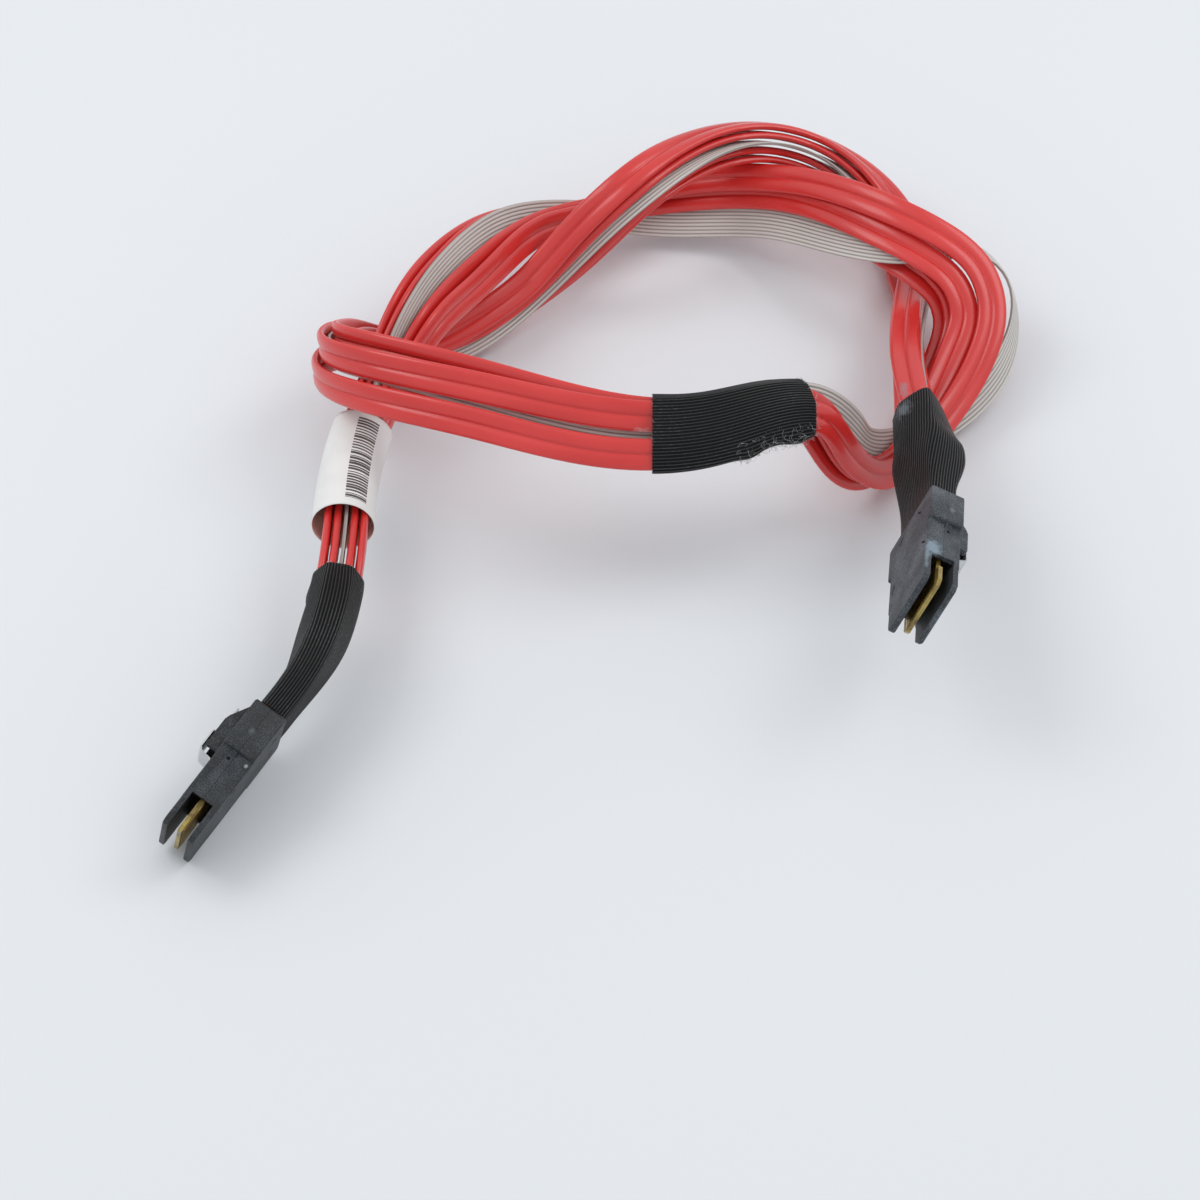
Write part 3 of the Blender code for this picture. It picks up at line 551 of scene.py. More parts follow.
# %% Cable profiles
LOBE_POINTS = 10
LOBE_POWERS = (0.85, 0.75)
WEB_HALF = 0.26
RIDGE_SHARES = (0.0, 0.2, 0.5, 0.8)
VALLEY = 0.62
RIDGE_POWER = 0.7
RIBBON_EDGE = 0.12


def flat_profile():
    """Two rounded lobes: across the width, then through the thickness."""
    lobe = FLAT_WIDTH / 4
    top = []
    for side in (1, -1):
        turns = np.linspace(0.0, math.pi, LOBE_POINTS + 1)[:-1]
        turns = turns if side > 0 else turns[::-1]
        for turn in turns:
            u = math.copysign(abs(math.cos(turn)) ** LOBE_POWERS[0], math.cos(turn))
            v = abs(math.sin(turn)) ** LOBE_POWERS[1]
            top.append((side * (lobe + lobe * u), v * FLAT_THICKNESS / 2))
    top = [(u, max(v, WEB_HALF) if abs(u) < lobe else v) for u, v in top]
    return top + [(-u, -v) for u, v in top]


def ribbon_profile():
    """A ridge over each wire, down to thin rounded edges."""
    top = []
    for wire in range(round(RIBBON_WIDTH / RIBBON_PITCH)):
        for share in RIDGE_SHARES:
            ridge = math.sin(math.pi * share) ** RIDGE_POWER
            rise = RIBBON_THICKNESS / 2 * (VALLEY + (1 - VALLEY) * ridge)
            place = RIBBON_WIDTH / 2 - (wire + share) * RIBBON_PITCH
            top.append((place, rise if wire or share else RIBBON_EDGE))
    return top + [(-u, -v) for u, v in top]


def perimeter(profile):
    points = np.array(profile + profile[:1])
    return np.concatenate([[0.0], np.cumsum(np.linalg.norm(np.diff(points, axis=0), axis=1))])


PROFILES = [ribbon_profile() if cable == RIBBON else flat_profile() for cable in range(len(CABLES))]
print("profile points:", [len(profile) for profile in PROFILES])

RING_COUNT = 400
where = steps_along(RING_COUNT)
for cable, name in enumerate(CABLES):
    centre, wide, thick = cable_frames(where, cable)
    profile = PROFILES[cable]
    rings = [[centre[i] + u * wide[i] + v * thick[i] for u, v in profile] for i in range(RING_COUNT)]
    walked = np.concatenate([[0.0], np.cumsum(np.linalg.norm(np.diff(centre, axis=0), axis=1))])
    around = perimeter(profile)
    if cable == RIBBON:
        around = np.array([u for u, v in profile + profile[:1]]) + RIBBON_WIDTH / 2
    mesh = skin(name + "_jacket", rings, around, walked)
    piece = put(name + "_jacket", mesh, GREY if cable == RIBBON else RED)
    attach(piece, "root")
    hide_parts(name)
    lowest = min(point[2] for ring in rings for point in ring)
    print(name, "length", round(walked[-1], 1), "mm, lowest", round(lowest, 2))

# %% [markdown]
# ## Woven sleeves
# Each sleeve is a black polyester tube, woven with fine ribs along its length
# and slipped over the bundle before the plugs went on. A plain skin gives the
# tube's wall, and Geometry Nodes run a thread along each rib, because the
# ribs follow the sleeve and are all alike. Cut ends fray into short hairs,
# which a second tree scatters with a fixed seed.

# %% Sleeve sizes
# Where each sleeve starts and ends along the route.
SLEEVES = {
    "sleeve_plug_1": (5.8, 46.6), "sleeve_middle": (422.4, 460.0), "sleeve_plug_2": (844.0, 888.6)}
SLEEVE_WALL = 0.4
SLEEVE_ROOM = 0.25
SLEEVE_STATIONS = 40
RIB_COUNT = 64
RIB_RADIUS = 0.17
print("sleeves:", {name: round(span[1] - span[0], 1) for name, span in SLEEVES.items()})

# %% A tight band round the cables
TURN_STEPS = 240
SMOOTH_ROWS = 2
SMOOTH_TURNS = 6


def bundle_sections(where):
    """The outlines of all the cables at a place, as points across and above."""
    points = []
    for cable, profile in enumerate(PROFILES):
        shift, layer = cable_places(np.array([where]), cable)
        points += [(shift[0] + u, layer[0] + v) for u, v in profile]
    return np.array(points)


def reach_along(values, span):
    """The largest of neighbouring rows, then their average, for a smooth tube."""
    rows = np.arange(len(values))
    near = [values[np.clip(rows + k, 0, len(values) - 1)] for k in range(-span, span + 1)]
    widest = np.max(near, axis=0)
    return np.mean([widest[np.clip(rows + k, 0, len(values) - 1)] for k in range(-span, span + 1)], axis=0)


def hugging_bands(places, room):
    """A tight closed band round the cables at each place: how far the cables
    reach each way gives the band's points, as for any convex outline."""
    turns = np.arange(TURN_STEPS) * 2 * np.pi / TURN_STEPS
    ways = np.stack([np.cos(turns), np.sin(turns)], axis=1)
    reach = np.array([np.max(bundle_sections(where) @ ways.T, axis=0) for where in places]) + room
    reach = reach_along(reach, SMOOTH_ROWS)
    for _ in range(SMOOTH_TURNS):
        reach = (np.roll(reach, 1, axis=1) + 2 * reach + np.roll(reach, -1, axis=1)) / 4
    slope = (np.roll(reach, -1, axis=1) - np.roll(reach, 1, axis=1)) / (4 * np.pi / TURN_STEPS)
    tangents = np.stack([-ways[:, 1], ways[:, 0]], axis=1)
    return reach[:, :, None] * ways + slope[:, :, None] * tangents


def read_band(band, shares):
    """Points of a closed band at shares of its length, from its +across side."""
    run = np.concatenate([[0.0], np.cumsum(np.linalg.norm(np.roll(band, -1, axis=0) - band, axis=1))])
    ring = np.concatenate([band, band[:1]])
    out = ring - band.mean(axis=0)
    turned = np.unwrap(np.arctan2(out[:, 1], out[:, 0]))
    start = np.interp(0.0, turned, run)
    spot = (start + (shares % 1.0) * run[-1]) % run[-1]
    return np.stack([np.interp(spot, run, ring[:, 0]), np.interp(spot, run, ring[:, 1])], axis=1)


middle_place = sum(SLEEVES["sleeve_middle"]) / 2
print("middle sleeve's band:", np.ptp(hugging_bands([middle_place], SLEEVE_ROOM)[0], axis=0).round(1), "mm")

# %% Rings of a sleeve
PICTURE_UP = np.array((0.0, math.sin(ELEVATION), math.cos(ELEVATION)))
PICTURE_LEFT = np.array((-1.0, 0.0, 0.0))


def sleeve_rings_for(span, count, shares, room, grow=None, start_cut=None):
    """Rings of a sleeve from one place on the route to another. grow adds room
    and start_cut moves the first end along, both by share of a turn."""
    rings = np.zeros((count, len(shares), 3))
    ways = np.linspace(0.0, 1.0, count)
    bands = hugging_bands(span[0] + ways * (span[1] - span[0]), room)
    for i, way in enumerate(ways):
        places = read_band(bands[i], shares)
        out = places - bands[i].mean(axis=0)
        if grow:
            places = places + out / np.linalg.norm(out, axis=1)[:, None] * grow(shares, way)[:, None]
        where = np.full(len(shares), span[0] + way * (span[1] - span[0]))
        if start_cut:
            where = where + start_cut(shares) * (1 - way)
        state, across, layers = stack_frames(where)
        rings[i] = state[:, :3] + places[:, :1] * across + places[:, 1:] * layers
    return rings


def share_towards(span, direction):
    """The share of a turn at which a sleeve looks furthest in a direction."""
    shares = np.linspace(0.0, 1.0, 72, endpoint=False)
    return shares[np.argmax(sleeve_rings_for(span, 3, shares, SLEEVE_ROOM)[1] @ direction)]


def hump(values, centre, width):
    return np.exp(-((values - centre) / width) ** 2)


def hump_around(shares, centre, width):
    return hump((shares - centre + 0.5) % 1.0 - 0.5, 0.0, width)


LOW_SHARE = share_towards(SLEEVES["sleeve_middle"], -PICTURE_UP)
DENT_SHARE = share_towards(SLEEVES["sleeve_plug_1"], PICTURE_LEFT)
SLANT_SHARE = share_towards(SLEEVES["sleeve_plug_2"], PICTURE_LEFT - 0.3 * PICTURE_UP)
print("low side, dented side, long side:", [round(v, 2) for v in (LOW_SHARE, DENT_SHARE, SLANT_SHARE)])

# %% [markdown]
# ## Black polyester weave
# The sleeve's yarn is dyed black and matt, so it takes nearly all the light. The
# rib threads are twisted tighter and shine a little, and their colours are
# painted lighter than the wall's, with pale blotches: painted highlight on the
# ribs. Their grain is drawn coarser than real fibres, or it wouldn't show. Where
# a sleeve was dragged over something its yarn is scraped pale, and torn fibres
# are the palest of all.

# %% Sleeve materials
SLEEVE_SCRAPE = ((69.5, 4.2, 32.0), (2.6, 3.0, 3.0), "#7E858C", 0.6)
WEAVE_CLOUDS = 14.286


def black_weave(name, codes, grain, roughness, shine):
    finish, tree, shader = new_material(
        name, Roughness=roughness, IOR=1.5, Specular_IOR_Level=shine,
        Sheen_Weight=0.05, Sheen_Roughness=0.4)
    spot = add_node(tree, "ShaderNodeTexCoord").outputs["Object"]
    mixed, fine = mottle(tree, spot, grain, WEAVE_CLOUDS, 0.4, (3.0, 2.0))
    stops = list(zip((0.36, 0.55, 0.72), codes))
    colour = add_node(tree, "ShaderNodeValToRGB", {"Fac": mixed}, stops)
    bump = add_node(tree, "ShaderNodeBump", {"Height": fine, "Strength": 0.5, "Distance": 0.1 * MM})
    feed(shader, Base_Color=mark(tree, spot, colour, *SLEEVE_SCRAPE), Normal=bump)
    return finish


WEAVE = black_weave("woven_black_polyester", ("#060708", "#0A0B0C", "#141517"), 1.1111, 0.75, 0.2)
# The threads' colours are lighter than the wall's, with pale blotches, on the same black yarn: painted
# highlight on the ribs.
THREAD = black_weave("black_rib_thread", ("#0D0E0F", "#1A1B1C", "#4C4D4C"), 0.66667, 0.34, 0.6)
FLUFF = cloudy_material(
    "frayed_polyester_fibre", 1.6667, [(0.35, "#5A5C5D"), (0.6, "#C6C9C8")], Roughness=0.5)
print("sleeve materials:", WEAVE.name, THREAD.name, FLUFF.name)

# %% [markdown]
# ## Trees for threads and fluff
# Both trees start from bare edges. The first makes each edge line a curve and
# sweeps a small circle along it: one thread for each rib. The second drops short
# bent hairs along the line, each turned and sized by chance with a fixed seed,
# because a cut end frays into fibres that are alike but never the same.

# %% What both trees share
def new_tree(name, sockets):
    tree = bpy.data.node_groups.new(name, "GeometryNodeTree")
    tree.interface.new_socket(name="Geometry", in_out="INPUT", socket_type="NodeSocketGeometry")
    for label, kind, value in sockets:
        tree.interface.new_socket(name=label, in_out="INPUT", socket_type=kind).default_value = value
    tree.interface.new_socket(name="Geometry", in_out="OUTPUT", socket_type="NodeSocketGeometry")
    return tree, add_node(tree, "NodeGroupInput").outputs, add_node(tree, "NodeGroupOutput")


def sweep_and_end(tree, curves, sides, radius, material, output):
    """Sweeps a circle along the curves and ends the tree in a real, painted mesh."""
    circle = add_node(tree, "GeometryNodeCurvePrimitiveCircle", {"Resolution": sides, "Radius": radius})
    swept = add_node(tree, "GeometryNodeCurveToMesh", {
        "Curve": curves, "Profile Curve": circle, "Fill Caps": True})
    soft = add_node(tree, "GeometryNodeSetShadeSmooth", {"Geometry": swept})
    real = add_node(tree, "GeometryNodeRealizeInstances", {"Geometry": soft})
    painted = add_node(tree, "GeometryNodeSetMaterial", {"Geometry": real, "Material": material})
    tree.links.new(painted.outputs[0], output.inputs[0])
    return tree


print("tree helpers ready")

# %% The tree of threads
def thread_tree(material):
    tree, given, output = new_tree("threads_along_edges", [
        ("Radius", "NodeSocketFloat", 0.0002), ("Sides", "NodeSocketInt", 5)])
    curves = add_node(tree, "GeometryNodeMeshToCurve", {"Mesh": given["Geometry"]})
    return sweep_and_end(tree, curves, given["Sides"], given["Radius"], material, output)


THREADS = thread_tree(THREAD)
print("tree:", THREADS.name, "nodes:", len(THREADS.nodes))

# %% The tree of fluff
HAIR_SHAPE = {"Resolution": 5, "Start": (-0.5, 0.0, 0.0), "Middle": (0.0, 0.5, 0.3), "End": (0.5, 0.0, 0.1)}
HAIR_SIZES = {2: 0.3, 3: 1.0}


def fluff_tree(material):
    tree, given, output = new_tree("fluff_along_edges", [
        ("Count", "NodeSocketInt", 40), ("Hair Length", "NodeSocketFloat", 0.001),
        ("Spread", "NodeSocketFloat", 0.0005), ("Radius", "NodeSocketFloat", 0.00003),
        ("Seed", "NodeSocketInt", 1)])
    curves = add_node(tree, "GeometryNodeMeshToCurve", {"Mesh": given["Geometry"]})
    spots = add_node(tree, "GeometryNodeResampleCurve", {"Curve": curves, "Count": given["Count"]})
    step = add_node(tree, "FunctionNodeRandomValue", {
        0: (-1.0,) * 3, 1: (1.0,) * 3, "Seed": given["Seed"]}, data_type="FLOAT_VECTOR")
    offset = add_node(tree, "ShaderNodeVectorMath", {0: step, "Scale": given["Spread"]}, operation="SCALE")
    moved = add_node(tree, "GeometryNodeSetPosition", {"Geometry": spots, "Offset": offset})
    hair = add_node(tree, "GeometryNodeCurveQuadraticBezier", HAIR_SHAPE)
    turn = add_node(tree, "FunctionNodeRandomValue", {
        0: (0.0,) * 3, 1: (2 * math.pi,) * 3, "Seed": given["Seed"]}, data_type="FLOAT_VECTOR")
    share = add_node(tree, "FunctionNodeRandomValue", {**HAIR_SIZES, "Seed": given["Seed"]}).outputs[1]
    size = add_node(tree, "ShaderNodeMath", {0: share, 1: given["Hair Length"]}, operation="MULTIPLY")
    hairs = add_node(tree, "GeometryNodeInstanceOnPoints", {
        "Points": moved, "Instance": hair, "Rotation": turn, "Scale": size})
    real = add_node(tree, "GeometryNodeRealizeInstances", {"Geometry": hairs})
    return sweep_and_end(tree, real, 3, given["Radius"], material, output)


FRAY = fluff_tree(FLUFF)
print("tree:", FRAY.name, "nodes:", len(FRAY.nodes))

# %% Run a tree on lines
def edge_mesh(name, lines):
    """A mesh of bare edges from lists of points in millimetres."""
    points = []
    edges = []
    for line in lines:
        first = len(points)
        points += [tuple(float(c) * MM for c in p) for p in line]
        edges += [(first + i, first + i + 1) for i in range(len(line) - 1)]
    mesh = bpy.data.meshes.new(name)
    mesh.from_pydata(points, edges, [])
    return mesh


def run_tree(name, lines, tree, values):
    """Runs a tree on bare edges and returns its result as a plain mesh."""
    holder = bpy.data.objects.new(name, edge_mesh(name, lines))
    bpy.context.scene.collection.objects.link(holder)
    step = holder.modifiers.new("nodes", "NODES")
    step.node_group = tree
    for item in tree.interface.items_tree:
        if item.in_out == "INPUT" and item.name in values:
            step[item.identifier] = values[item.name]
    evaluated = holder.evaluated_get(bpy.context.evaluated_depsgraph_get())
    result = bpy.data.meshes.new_from_object(evaluated)
    holder.modifiers.remove(step)
    bpy.data.objects.remove(holder)
    result.name = name
    return result


print("the thread tree has", len(THREADS.nodes), "nodes, the fluff tree", len(FRAY.nodes))

# %% [markdown]
# ## The three sleeves
# A woven tube hugs the cables but is a little too wide for them, so it keeps some
# shape of its own. The middle one sags below the cables near its torn end. The
# one at plug 1 has a dent by its open end, and the one at plug 2 was cut aslant.

# %% Sags, dents and slants
# Each row is a depth in millimetres, then a place and a reach along the sleeve.
SAGS = [(0.9, 0.47, 0.07), (1.8, 0.14, 0.12)]
DENTS = [(0.8, 0.93, 0.06), (-0.2, 0.82, 0.04)]
BULGE_TURN = 0.07
CUT_BACK = 2.4
CUT_SLANT = 3.2
SLANT_TURN = 0.2


def bulge(shares, way, towards, rows):
    along = sum(depth * hump(way, place, reach) for depth, place, reach in rows)
    return hump_around(shares, towards, BULGE_TURN) * along


def sag(shares, way):
    return bulge(shares, way, LOW_SHARE, SAGS)


def dent(shares, way):
    return bulge(shares, way, DENT_SHARE, DENTS)


def slant(shares):
    return CUT_BACK + CUT_SLANT * hump_around(shares, SLANT_SHARE, SLANT_TURN)


print("deepest sag:", round(float(sag(LOW_SHARE, SAGS[1][1])), 2), "mm")

# %% Walls and threads
WALL_SHARP = math.radians(60)
WELD = 0.001


def sleeve_wall(name, rings):
    """A skin with a wall: the outer rings, then the inner rings back."""
    away = rings - rings.mean(axis=1, keepdims=True)
    inner = rings - away / np.linalg.norm(away, axis=2)[:, :, None] * SLEEVE_WALL
    loop = np.concatenate([rings, inner[::-1], rings[:1]])
    mesh = skin(name, loop, np.arange(rings.shape[1] + 1), np.arange(len(loop)), caps=False)
    shape = bmesh.new()
    shape.from_mesh(mesh)
    bmesh.ops.remove_doubles(shape, verts=shape.verts, dist=WELD * MM)
    bmesh.ops.recalc_face_normals(shape, faces=shape.faces)
    shape.to_mesh(mesh)
    shape.free()
    mesh.set_sharp_from_angle(angle=WALL_SHARP)
    return mesh


shares = np.linspace(0.0, 1.0, RIB_COUNT, endpoint=False)
sleeve_pieces = []
sleeve_rings = {}
for name, span in SLEEVES.items():
    rings = sleeve_rings_for(
        span, SLEEVE_STATIONS, shares, SLEEVE_ROOM + SLEEVE_WALL,
        grow={"sleeve_middle": sag, "sleeve_plug_1": dent}.get(name),
        start_cut=slant if name == "sleeve_plug_2" else None)
    sleeve_rings[name] = rings
    wall = put(name + "_wall", sleeve_wall(name + "_wall", rings), WEAVE)
    lines = [rings[:, j] for j in range(RIB_COUNT)]
    ribs = put(name + "_ribs", run_tree(
        name + "_ribs", lines, THREADS, {"Radius": RIB_RADIUS * MM, "Sides": 5}))
    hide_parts(name)
    sleeve_pieces += [wall, ribs]
    print(name, "ribs:", RIB_COUNT, "faces:", len(ribs.data.polygons))

# %% [markdown]
# ## Frayed fibres
# The middle sleeve is torn along its lower edge, where pale fibres curl out, and
# every cut end sheds a few. They are scattered along lines taken from the rings.
# Real fibres are thinner still, but these are as thin as the render can show.

# %% Scatter the fibres
FIBRE_RADIUS = 0.036
TORN_STATIONS = 22
TORN_RIBS = (-5, -3, -1, 1, 3, 5)
low = int(round(LOW_SHARE * RIB_COUNT)) % RIB_COUNT
middle_rings = sleeve_rings["sleeve_middle"]
# The lines, then the hairs on each line, their length and their spread in mm.
fray_lines = {
    "middle_tear": ([middle_rings[:TORN_STATIONS, (low + k) % RIB_COUNT] for k in TORN_RIBS], 46, 3.0, 0.8),
    "middle_tear_end": ([middle_rings[0]], 90, 2.0, 0.5),
    "middle_far_end": ([middle_rings[-1]], 36, 0.8, 0.2),
    "plug_1_end": ([sleeve_rings["sleeve_plug_1"][-1]], 36, 0.8, 0.2),
    "plug_2_end": ([sleeve_rings["sleeve_plug_2"][0]], 40, 0.9, 0.25),
}
for seed, (name, (lines, count, length, spread)) in enumerate(fray_lines.items()):
    fluff = put("fluff_" + name, run_tree("fluff_" + name, lines, FRAY, {
        "Count": count, "Hair Length": length * MM, "Spread": spread * MM,
        "Radius": FIBRE_RADIUS * MM, "Seed": seed}))
    sleeve_pieces.append(fluff)
    print(fluff.name, "faces:", len(fluff.data.polygons))
for piece in sleeve_pieces:
    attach(piece, "root")

# %% [markdown]
# ## Label paper
# The label is a strip of coated paper: white and a little shiny in front, pink
# and matt behind, and the back's pink is painted lighter than the paper's own:
# painted light inside the ring, where it lies in shade. Its print is a field of
# plain bars, whose widths a white noise draws from the number of the bar, so
# they come out the same each time.

# %% Label papers
BAR_STEP = 0.95
BAR_BAND = (17.8, 23.4)
BAR_LENGTH = (2.5, 31.0)
# Shares of a step: the narrowest bar, and how much wider chance may make one.
BAR_NARROWEST, BAR_SPREAD = 0.3, 0.6
STAIN_SIZE = 16.667


def between(tree, value, low, high):
    """1 where a value in metres lies between two places in mm, and 0 elsewhere."""
    above = add_node(tree, "ShaderNodeMath", {0: value, 1: low * MM}, operation="GREATER_THAN")
    below = add_node(tree, "ShaderNodeMath", {0: value, 1: high * MM}, operation="LESS_THAN")
    return add_node(tree, "ShaderNodeMath", {0: above, 1: below}, operation="MULTIPLY")


def label_paper():
    finish, tree, shader = new_material("coated_label_paper", Roughness=0.45, IOR=1.48)
    uv = add_node(tree, "ShaderNodeUVMap", uv_map="along")
    uv = add_node(tree, "ShaderNodeSeparateXYZ", {"Vector": uv}).outputs
    bars = add_node(tree, "ShaderNodeMath", {0: uv["Y"], 1: scale_for(BAR_STEP)}, operation="MULTIPLY")
    number = add_node(tree, "ShaderNodeMath", {0: bars}, operation="FLOOR")
    within = add_node(tree, "ShaderNodeMath", {0: bars}, operation="FRACT")
    chance = add_node(tree, "ShaderNodeTexWhiteNoise", {"W": number}, noise_dimensions="1D")
    width = add_node(
        tree, "ShaderNodeMath", {0: chance, 1: BAR_SPREAD, 2: BAR_NARROWEST}, operation="MULTIPLY_ADD")
    dark = add_node(tree, "ShaderNodeMath", {0: width, 1: within}, operation="GREATER_THAN")
    for field in (between(tree, uv["X"], *BAR_BAND), between(tree, uv["Y"], *BAR_LENGTH)):
        dark = add_node(tree, "ShaderNodeMath", {0: dark, 1: field}, operation="MULTIPLY")
    spot = add_node(tree, "ShaderNodeTexCoord").outputs["Object"]
    stain = add_node(tree, "ShaderNodeTexNoise", {
        "Vector": spot, "Scale": scale_for(STAIN_SIZE), "Detail": 4.0})
    paper = add_node(tree, "ShaderNodeValToRGB", {"Fac": stain}, [(0.35, "#E6E6E3"), (0.65, "#F2F2F0")])
    ink = add_node(tree, "ShaderNodeValToRGB", {"Fac": stain}, [(0.4, "#4A4645"), (0.7, "#77716D")])
    feed(shader, Base_Color=add_node(
        tree, "ShaderNodeMix", {0: dark, 6: paper, 7: ink}, data_type="RGBA").outputs[2])
    return finish


FRONT = label_paper()
# The back's colours are lighter than the paper's own: painted light in the shade inside the ring.
BACK = cloudy_material(
    "label_paper_back", 3.3333, [(0.35, "#E3C3B0"), (0.65, "#F3DCCD")], 4.0, Roughness=0.6)
print("label papers:", FRONT.name, BACK.name)

# %% [markdown]
# ## The wrap label
# The strip goes once round the bundle and sticks to its own end. It has kept the
# round shape of the roll, so it hangs loosely, a little off centre.

# %% Roll the label round the bundle
LABEL_SPAN = (64.8, 98.0)
LABEL_RADIUS = 7.5
LABEL_TURNS = 1.12
LABEL_WALL = 0.14
LABEL_HANG = (0.6, -0.7)
LABEL_LIFT = 0.35
LABEL_STATIONS = 30
LABEL_STEPS = 90

label_where = np.linspace(*LABEL_SPAN, LABEL_STATIONS)
label_shares = np.linspace(0.0, LABEL_TURNS, LABEL_STEPS)
state, across, layers = stack_frames(label_where)
reach = LABEL_RADIUS + LABEL_LIFT * np.clip(label_shares - 0.5, 0.0, None)
rings = []
for i, place in enumerate(label_where):
    points = bundle_sections(place)
    middle = (points.min(axis=0) + points.max(axis=0)) / 2 + np.array(LABEL_HANG)
    beside = middle[0] + reach * np.cos(2 * np.pi * label_shares)
    above = middle[1] + reach * np.sin(2 * np.pi * label_shares)
    rings.append(state[i, :3] + beside[:, None] * across[i] + above[:, None] * layers[i])
rings = np.array(rings)
around = np.concatenate([[0.0], np.cumsum(np.linalg.norm(np.diff(rings[0], axis=0), axis=1))])
along = np.linspace(0.0, LABEL_SPAN[1] - LABEL_SPAN[0], LABEL_STATIONS)
label_mesh = skin("wrap_label_paper", rings, around, along, closed=False, caps=False)
first_face = label_mesh.polygons[0]
if first_face.normal.dot(first_face.center - Vector(rings[0].mean(axis=0)) * MM) < 0:
    label_mesh.flip_normals()
label = put("wrap_label_paper", label_mesh, FRONT, BACK)
thick = label.modifiers.new("paper", "SOLIDIFY")
thick.thickness = LABEL_WALL * MM
thick.offset = 0.0
thick.material_offset = 1
print("label strip length:", round(around[-1], 1), "mm")
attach(label, "root")
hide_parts("wrap_label")

# %% [markdown]

# %% [markdown]
# ## Plug frames
# Each plug has its own frame: x runs through its thickness towards the latch,
# y to the nose and z across the width. A Mapping node turns a material's
# pattern into that frame, so a mark stays on the face that it belongs to.

# %% Plug places
PLUGS = {
    "plug_1": ((-76.4, -50.1, 15.72), (-0.539, -0.825, -0.170), (-0.818, 0.464, 0.340)),
    "plug_2": ((77.2, -4.3, 32.6), (-0.126, -0.959, 0.255), (0.911, -0.213, -0.352)),
}


def plug_matrix(plug):
    rear, nose, latch = PLUGS[plug]
    y = Vector(nose).normalized()
    x = Vector(latch)
    x = (x - y * x.dot(y)).normalized()
    turn = Matrix((x, y, x.cross(y))).transposed().to_4x4()
    return Matrix.Translation(Vector(rear) * MM + FLOOR_POINT) @ turn


def plug_coordinates(tree, plug):
    """Object coordinates turned into the plug's own frame, in metres."""
    place = plug_matrix(plug)
    return add_node(tree, "ShaderNodeMapping", {
        "Vector": add_node(tree, "ShaderNodeTexCoord").outputs["Object"],
        "Location": place.translation, "Rotation": place.to_euler()}, vector_type="TEXTURE")


for plug in PLUGS:
    print(plug, "at", [round(v / MM, 1) for v in plug_matrix(plug).translation], "mm")

# %% [markdown]
# ## Black moulded nylon
# The shells are moulded in glass-filled nylon, with a spark texture that
# scatters the light to a soft grey sheen. The real texture is finer, and here it
# is as coarse as it needs to be to show. The right plug's colours are painted
# lighter than the left one's: painted sheen, where its faces catch the lamps.
# Where nylon is bent until it tears it turns pale, as at the corner of the right
# plug, and rubbed corners go grey.

# %% Shell material
# The right plug's colours are lighter than the left's on the same black nylon: painted sheen.
NYLON_AND_SHEEN_CODES = {"plug_1": ("#0F1215", "#1B1F23", "#42484D"), "plug_2": ("#1E2327", "#343A40", "#5E666D")}
NYLON_GRAIN, NYLON_CLOUDS = 0.3125, 6.25
WORN_STRENGTH = 0.85
WORN_PLACES = {
    "plug_1": [((-3.2, 14.3, 9.7), (0.5, 0.6, 0.5), "#A4AAAD"),
               ((0.4, 7.2, 11.2), (0.9, 1.1, 0.6), "#4E5458")],
    "plug_2": [((-2.6, 24.2, -9.7), (2.3, 3.0, 0.9), "#8497A4"),
               ((-4.1, 28.0, -9.6), (0.9, 5.6, 0.9), "#7A8A94"),
               ((1.0, 8.0, -11.2), (0.8, 1.1, 0.6), "#6C7276")],
}


def black_nylon(plug):
    finish, tree, shader = new_material(plug + "_moulded_black_nylon", Roughness=0.52, IOR=1.53)
    spot = plug_coordinates(tree, plug)
    mixed, grain = mottle(tree, spot, NYLON_GRAIN, NYLON_CLOUDS, 0.4, (2.0, 5.0))
    stops = list(zip((0.4, 0.5, 0.62), NYLON_AND_SHEEN_CODES[plug]))
    colour = add_node(tree, "ShaderNodeValToRGB", {"Fac": mixed}, stops)
    for worn in WORN_PLACES[plug]:
        colour = mark(tree, spot, colour, *worn, WORN_STRENGTH)
    bump = add_node(tree, "ShaderNodeBump", {"Height": grain, "Strength": 0.7, "Distance": 0.1 * MM})
    feed(shader, Base_Color=colour, Normal=bump)
    return finish


NYLONS = {plug: black_nylon(plug) for plug in PLUGS}
print("shell materials:", [nylon.name for nylon in NYLONS.values()])

# %% [markdown]
# ## The shells
# The two halves of a shell meet in a seam, which closes to a hairline. Moulded
# edges are never sharp, because the tool's own edges are slightly round. So a
# copy of each shell from the frame has its seam drawn together, and a Bevel
# modifier rounds the edges that are marked for it.

# %% Shell shapes
SEAM_REACH = 0.52
SEAM_FACE = 0.15
SEAM_GAP = 0.02
SEAM_SLOPE = 0.03
SEAM_EDGE = 0.1
SHELL_WELD = 0.002
FLAT_ANGLE = math.radians(1.0)
SHARP_ANGLE = math.radians(35)
EDGE_ROUNDING = 0.14


def close_seam(shape, place):
    """Draws the faces along the seam together and returns the points beside it."""
    back = place.inverted()
    beside = set()
    for vert in shape.verts:
        spot = back @ vert.co
        if abs(spot.x) < SEAM_REACH * MM:
            drawn = SEAM_GAP + (abs(spot.x) / MM - SEAM_FACE) * SEAM_SLOPE
            spot.x = math.copysign(drawn * MM, spot.x)
            vert.co = place @ spot
        if abs(spot.x) < SEAM_EDGE * MM:
            beside.add(vert)
    return beside


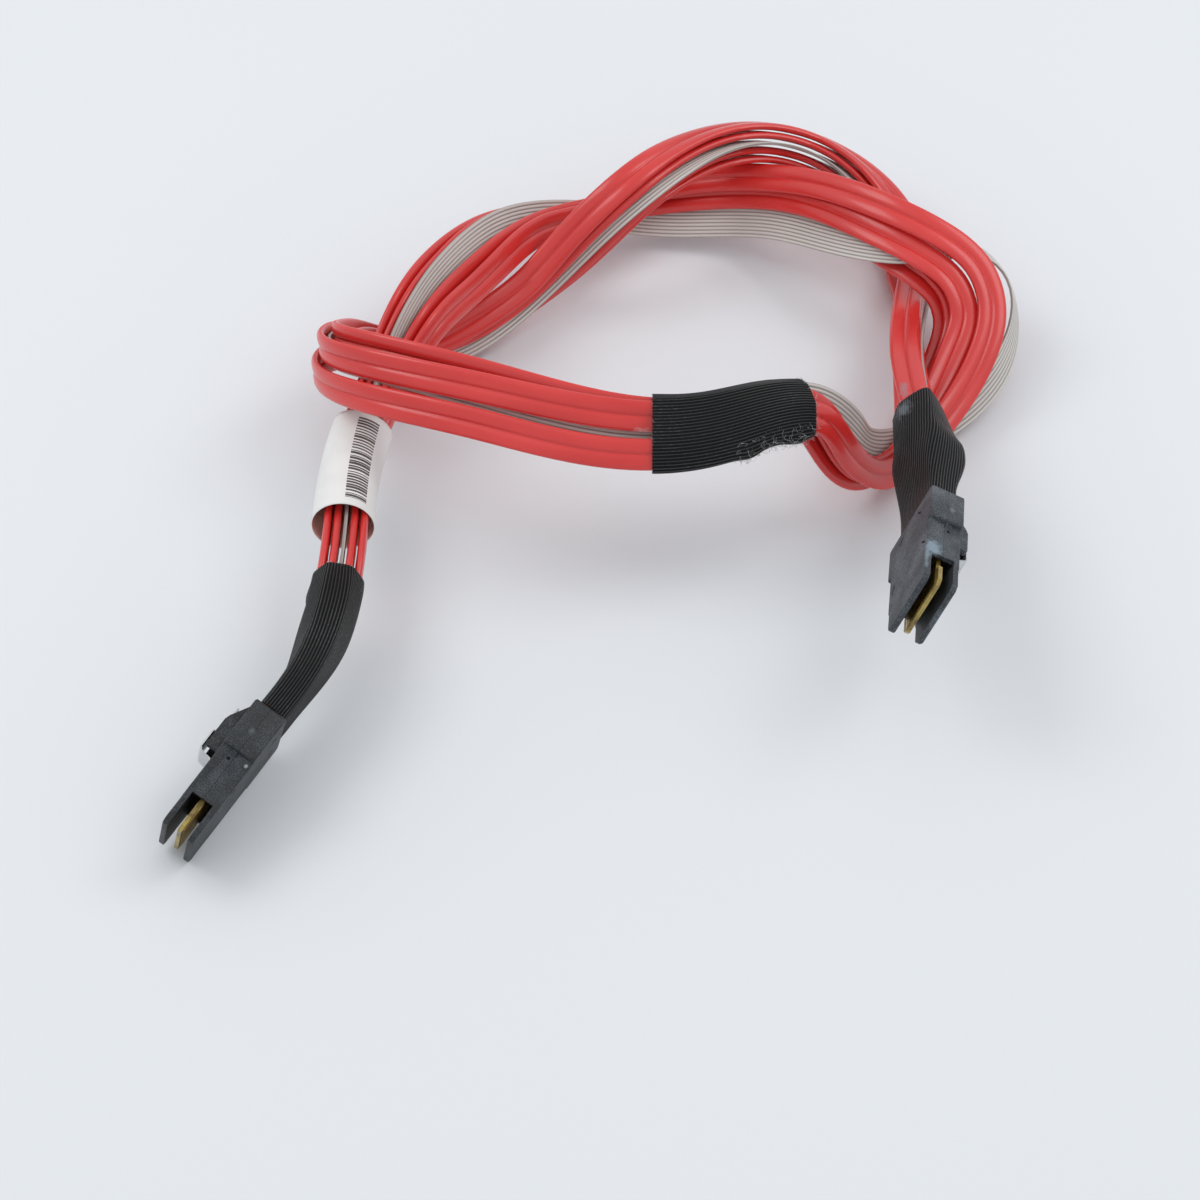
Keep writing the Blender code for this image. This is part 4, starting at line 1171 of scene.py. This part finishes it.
def moulded_copy(plug, node, name, finish):
    """A copy of a CAD shell with a tight seam and rounded edges."""
    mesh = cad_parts[node].data.copy()
    mesh.name = name
    mesh.materials.clear()
    shape = bmesh.new()
    shape.from_mesh(mesh)
    bmesh.ops.remove_doubles(shape, verts=shape.verts, dist=SHELL_WELD * MM)
    bmesh.ops.dissolve_limit(shape, angle_limit=FLAT_ANGLE, verts=shape.verts, edges=shape.edges)
    near_seam = close_seam(shape, plug_matrix(plug))
    weights = shape.edges.layers.float.new("bevel_weight_edge")
    for edge in shape.edges:
        sharp = edge.is_manifold and edge.calc_face_angle(0.0) > SHARP_ANGLE
        if sharp and not near_seam.intersection(edge.verts):
            edge[weights] = 1.0
    shape.to_mesh(mesh)
    shape.free()
    piece = put(name, mesh, finish)
    soft = piece.modifiers.new("soft_edges", "BEVEL")
    soft.width = EDGE_ROUNDING * MM
    soft.segments = 3
    soft.limit_method = "WEIGHT"
    soft.use_clamp_overlap = True
    soft.harden_normals = True
    mesh.shade_smooth()
    mesh.set_sharp_from_angle(angle=SHARP_ANGLE)
    return piece


for plug in PLUGS:
    for part in ("plain_shell", "latch_shell"):
        piece = moulded_copy(plug, f"{plug}_{part}", f"{plug}_{part}_moulded", NYLONS[plug])
        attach(piece, "root")
        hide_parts(f"{plug}_{part}")
        print(piece.name, "faces:", len(piece.data.polygons))

# %% [markdown]
# ## Card and contacts
# The paddle card is glass laminate with a thin tan solder mask, browner where
# the soldering heat reached it, so its satin face looks cloudy. Its fingers are
# gold over nickel, worn to a soft shine where they slid in and out.

# %% Card and contact materials
def card_laminate(plug):
    finish, tree, shader = new_material(plug + "_tan_solder_mask", Roughness=0.32, IOR=1.5)
    mixed, _ = mottle(tree, plug_coordinates(tree, plug), 0.66667, 4.5455, 0.7)
    stops = [(0.36, "#6A542A"), (0.48, "#94803F"), (0.66, "#B7A159")]
    feed(shader, Base_Color=add_node(tree, "ShaderNodeValToRGB", {"Fac": mixed}, stops))
    return finish


GOLD = cloudy_material(
    "hard_gold_plate", 1.42857, [(0.3, "#D9B45A"), (0.7, "#F1D58A")], 3.0, Metallic=1.0, Roughness=0.28)
print("contacts:", GOLD.name)

# %% [markdown]
# ## Latch and glue
# The latch is rolled stainless strip. The rolls leave fine lines along it,
# which draw a reflection out across them. The glue inside the shells is a pale
# hot-melt with a soft, waxy shine.

# %% Latch and glue materials
ROLLING_LINES = (2.5, 5.0, 0.166667)


def spring_steel(plug):
    finish, tree, shader = new_material(plug + "_rolled_stainless", Metallic=1.0, Roughness=0.27)
    stretched = add_node(tree, "ShaderNodeMapping", {
        "Vector": plug_coordinates(tree, plug), "Scale": [scale_for(size) for size in ROLLING_LINES]})
    lines = add_node(tree, "ShaderNodeTexNoise", {"Vector": stretched, "Scale": 1.0})
    feed(shader, Base_Color=add_node(
        tree, "ShaderNodeValToRGB", {"Fac": lines}, [(0.3, "#B9BBBC"), (0.7, "#DADBDB")]))
    return finish


GLUE = cloudy_material(
    "hot_melt_glue", 4.0, [(0.3, "#B9AE92"), (0.7, "#D6CCB2")], 3.0, Roughness=0.35, IOR=1.5)
print("glue:", GLUE.name)

# %% Paint the small parts
def repaint(node, finish):
    """Gives a piece of the frame a finish in place of its plain one."""
    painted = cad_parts[node].data.materials
    painted.clear()
    painted.append(finish)


for plug in PLUGS:
    repaint(plug + "_contacts_latch_side", GOLD)
    repaint(plug + "_contacts_plain_side", GOLD)
    repaint(plug + "_potting", GLUE)
    repaint(plug + "_paddle_card", card_laminate(plug))
    repaint(plug + "_latch", spring_steel(plug))
    print(plug, "small parts painted")
